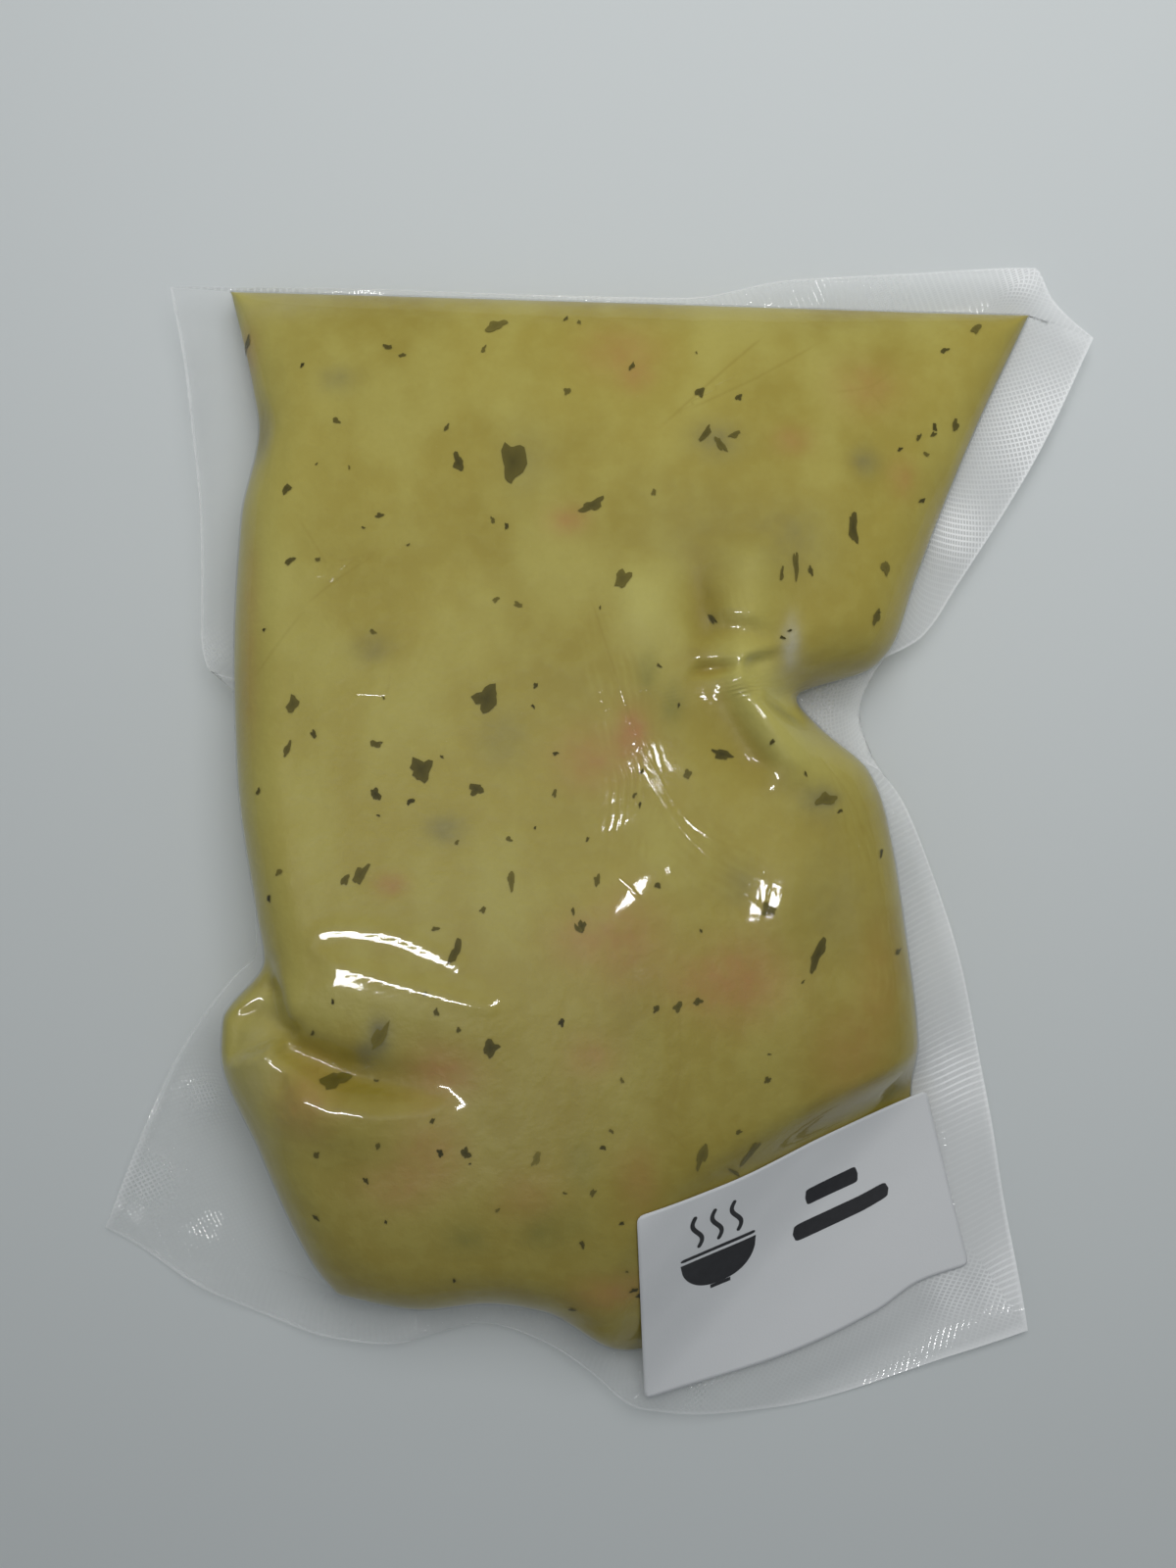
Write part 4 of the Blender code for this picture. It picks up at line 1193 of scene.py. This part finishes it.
class BuildHerbs(bpy.types.Operator):
    """Makes the herb flakes and flecks that lie against the film"""

    bl_idname = "pouch.herbs"
    bl_label = "Herb flakes"

    def execute(self, context):
        sizes, colours = context.scene.pouch_sizes, context.scene.pouch_colours
        film = bpy.data.objects["front_film"]
        shape = bmesh.new()
        shape.from_mesh(film.data)
        surface = BVHTree.FromBMesh(shape)
        shape.free()
        rng = np.random.default_rng(FLECK_SEED)
        flakes = bmesh.new()
        flakes.verts.layers.float.new("veil")
        for x, y, length, width, turn, veil in HERBS:
            leaf = (x / MILLIMETRES, y / MILLIMETRES, length / FLAKE_TRIM, width / FLAKE_TRIM, turn)
            add_flake(flakes, surface, leaf, veil, rng)
        edge, label = closed_edge(*FILL), label_edge()
        for _ in range(sizes.flecks):
            place = np.array([[rng.uniform(*span) for span in FLECK_AREA]])
            length, turn, veil = rng.uniform(*FLECK_LENGTH), rng.uniform(0, 180), rng.uniform(0, 0.5)
            clear_of_edge = inside(edge, place)[0] and distance_to(edge, place)[0][0] > FLECK_EDGE
            if clear_of_edge and not inside(label, place)[0]:
                fleck = (*place[0], length, length * FLECK_WIDTH_SHARE, turn)
                add_flake(flakes, surface, fleck, veil, rng)
        place_piece("herb_flakes", flakes, herb_material(colours))
        return {"FINISHED"}


def on_label(across, down, lift):
    """Points on the label from its own flat millimetres, at a height over the film under it."""
    u = np.clip(across / MILLIMETRES / LABEL_SIZE[0], 0, 1)
    v = np.clip(down / MILLIMETRES / LABEL_SIZE[1], 0, 1)
    top, bottom = level_side(LABEL_TOP, u), level_side(LABEL_BOTTOM, u)
    places = top + (bottom - top) * v[:, None]
    return np.column_stack([places, label_height(places) - LABEL_GAP + lift])


class BuildLabel(bpy.types.Operator):
    """Makes the paper label with rounded corners"""

    bl_idname = "pouch.label"
    bl_label = "Label"

    def execute(self, context):
        sizes, colours = context.scene.pouch_sizes, context.scene.pouch_colours
        sheet, u, v = grid_sheet(LABEL_GRID, lambda t: t)
        flat = np.column_stack([u, v]) * LABEL_SIZE
        corner = sizes.label_corner
        middle = np.clip(flat, corner, np.array(LABEL_SIZE) - corner)
        out = flat - middle
        reach = np.maximum(np.hypot(*out.T), 1e-9)
        flat = middle + out * np.minimum(1, corner / reach)[:, None]
        points = on_label(*flat.T * MILLIMETRES, LABEL_LIFT)
        close_sheets(sheet, points[:, :2], points[:, 2] + sizes.label_thickness, points[:, 2])
        place_piece("label_paper", sheet, paper_material(colours), ["label"])
        return {"FINISHED"}


def add_ribbon(printed, centres, half_widths, lift):
    """A flat shape on the label along centres in its own millimetres, with a width at each."""
    count = len(centres) - 1
    made = bmesh.ops.create_grid(printed, x_segments=count, y_segments=4, size=0.5)
    way = np.gradient(centres, axis=0)
    way = way / np.maximum(np.hypot(*way.T), 1e-9)[:, None]
    flat = np.array([vert.co[:2] for vert in made["verts"]])
    place = np.rint((flat[:, 0] + 0.5) * count).astype(int)
    off = (flat[:, 1] * 2 * half_widths[place])[:, None]
    spots = centres[place] + np.column_stack([way[place, 1], -way[place, 0]]) * off
    for vert, point in zip(made["verts"], on_label(spots[:, 0], spots[:, 1], lift)):
        vert.co = point


class BuildPrint(bpy.types.Operator):
    """Prints a generic steaming bowl and two plain bars on the label"""

    bl_idname = "pouch.label_print"
    bl_label = "Label print"

    def execute(self, context):
        sizes, colours = context.scene.pouch_sizes, context.scene.pouch_colours
        lift = LABEL_LIFT + sizes.label_thickness + INK_LIFT
        printed = bmesh.new()
        t = np.linspace(0, 1, PRINT_SAMPLES)
        round_ends = (1 - np.abs(2 * t - 1) ** 24) ** 0.5
        for start, end, half_width in PRINT_BARS:
            line = np.array(start) + (np.array(end) - np.array(start)) * t[:, None]
            add_ribbon(printed, line, half_width * round_ends, lift)
        bowl = PRINT_BOWL
        across = bowl["left"] + (bowl["right"] - bowl["left"]) * t
        depth = bowl["depth"] * np.sqrt(1 - np.abs(2 * t - 1) ** 2.4)
        rim = np.column_stack([across, np.full_like(t, bowl["rim"] - bowl["rim_rise"])])
        add_ribbon(printed, rim, bowl["rim_half_width"] * round_ends, lift)
        self.add_bowl(printed, across, depth, bowl, lift)
        steam = PRINT_STEAM
        for number in range(steam["curls"]):
            down = steam["low"] + (steam["high"] - steam["low"]) * t
            sway = steam["first"] + number * steam["spacing"] + steam["sway"] * np.sin(2 * math.pi * t)
            add_ribbon(printed, np.column_stack([sway, down]), steam["half_width"] * round_ends, lift)
        bmesh.ops.remove_doubles(printed, verts=printed.verts, dist=TINY)
        bmesh.ops.dissolve_degenerate(printed, dist=TINY, edges=printed.edges)
        place_piece("label_print", printed, ink_material(colours))
        return {"FINISHED"}

    def add_bowl(self, printed, across, depth, bowl, lift):
        """The bowl's body, whose lower edge is round, and its foot."""
        made = bmesh.ops.create_grid(printed, x_segments=len(across) - 1, y_segments=10, size=0.5)
        flat = np.array([vert.co[:2] for vert in made["verts"]])
        place = np.rint((flat[:, 0] + 0.5) * (len(across) - 1)).astype(int)
        down = bowl["rim"] + bowl["gap"] + depth[place] * (0.5 - flat[:, 1])
        for vert, point in zip(made["verts"], on_label(across[place], down, lift)):
            vert.co = point
        centre = (bowl["left"] + bowl["right"]) / 2
        foot = np.linspace(centre - bowl["foot"] / 2, centre + bowl["foot"] / 2, 9)
        base = bowl["rim"] + bowl["gap"] + bowl["depth"] + bowl["foot_drop"]
        foot_line = np.column_stack([foot, np.full_like(foot, base)])
        add_ribbon(printed, foot_line, np.full_like(foot, bowl["foot_half_width"]), lift)


class BuildStage(bpy.types.Operator):
    """Makes the pale floor, the lights and the camera"""

    bl_idname = "pouch.stage"
    bl_label = "Stage"

    def execute(self, context):
        colours = context.scene.pouch_colours
        plane = bmesh.new()
        bmesh.ops.create_grid(plane, x_segments=1, y_segments=1, size=FLOOR_HALF_SIDE)
        bmesh.ops.translate(plane, verts=plane.verts, vec=(0, 0, -FLOOR_DROP))
        mesh = bpy.data.meshes.new("floor")
        plane.to_mesh(mesh)
        plane.free()
        mesh.materials.append(floor_material(colours))
        floor = bpy.data.objects.new("floor", mesh)
        context.scene.collection.objects.link(floor)
        self.add_lamp("soft_box", *SOFT_BOX).visible_glossy = False
        for name, lamp in CEILING_LAMPS.items():
            self.add_lamp(name, *lamp).visible_diffuse = False
        world = bpy.data.worlds.new("room")
        world.use_nodes = True
        light = world.node_tree.nodes["Background"]
        light.inputs["Color"].default_value = ROOM_COLOUR
        light.inputs["Strength"].default_value = ROOM_STRENGTH
        context.scene.world = world
        context.scene.view_settings.view_transform = "Standard"
        camera = bpy.data.objects.new("camera", bpy.data.cameras.new("camera"))
        camera.data.lens = CAMERA_LENS
        camera.data.clip_start = 0.01
        camera.location = CAMERA_PLACE
        context.scene.collection.objects.link(camera)
        context.scene.camera = camera
        return {"FINISHED"}

    def add_lamp(self, name, place, watts, wide, high):
        """A soft rectangular lamp that faces straight down."""
        lamp = bpy.data.objects.new(name, bpy.data.lights.new(name, "AREA"))
        lamp.data.shape = "RECTANGLE"
        lamp.data.energy = watts
        lamp.data.size = wide
        lamp.data.size_y = high
        lamp.location = place
        bpy.context.scene.collection.objects.link(lamp)
        return lamp


BUILDERS = (
    BuildChowder, BuildFrontFilm, BuildBackFilm, BuildMargins, BuildHerbs, BuildLabel, BuildPrint,
    BuildStage,
)


class PouchPanel(bpy.types.Panel):
    """Lists the pouch's pieces, sizes and colours in the sidebar"""

    bl_idname = "VIEW3D_PT_pouch"
    bl_label = "Chowder pouch"
    bl_space_type = "VIEW_3D"
    bl_region_type = "UI"
    bl_category = "Pouch"

    def draw(self, context):
        for builder in BUILDERS:
            self.layout.operator(builder.bl_idname)
        for group in (context.scene.pouch_sizes, context.scene.pouch_colours):
            for name in group.__annotations__:
                self.layout.prop(group, name)


CLASSES = (PouchSizes, PouchColours, *BUILDERS, PouchPanel)


def register():
    for made in CLASSES:
        bpy.utils.register_class(made)
    bpy.types.Scene.pouch_sizes = PointerProperty(type=PouchSizes)
    bpy.types.Scene.pouch_colours = PointerProperty(type=PouchColours)


def unregister():
    del bpy.types.Scene.pouch_sizes
    del bpy.types.Scene.pouch_colours
    for made in reversed(CLASSES):
        bpy.utils.unregister_class(made)


def main():
    register()
    bpy.ops.pouch.chowder()
    bpy.ops.pouch.front_film()
    bpy.ops.pouch.back_film()
    bpy.ops.pouch.margins()
    bpy.ops.pouch.herbs()
    bpy.ops.pouch.label()
    bpy.ops.pouch.label_print()
    bpy.ops.pouch.stage()


if __name__ == "__main__":
    main()
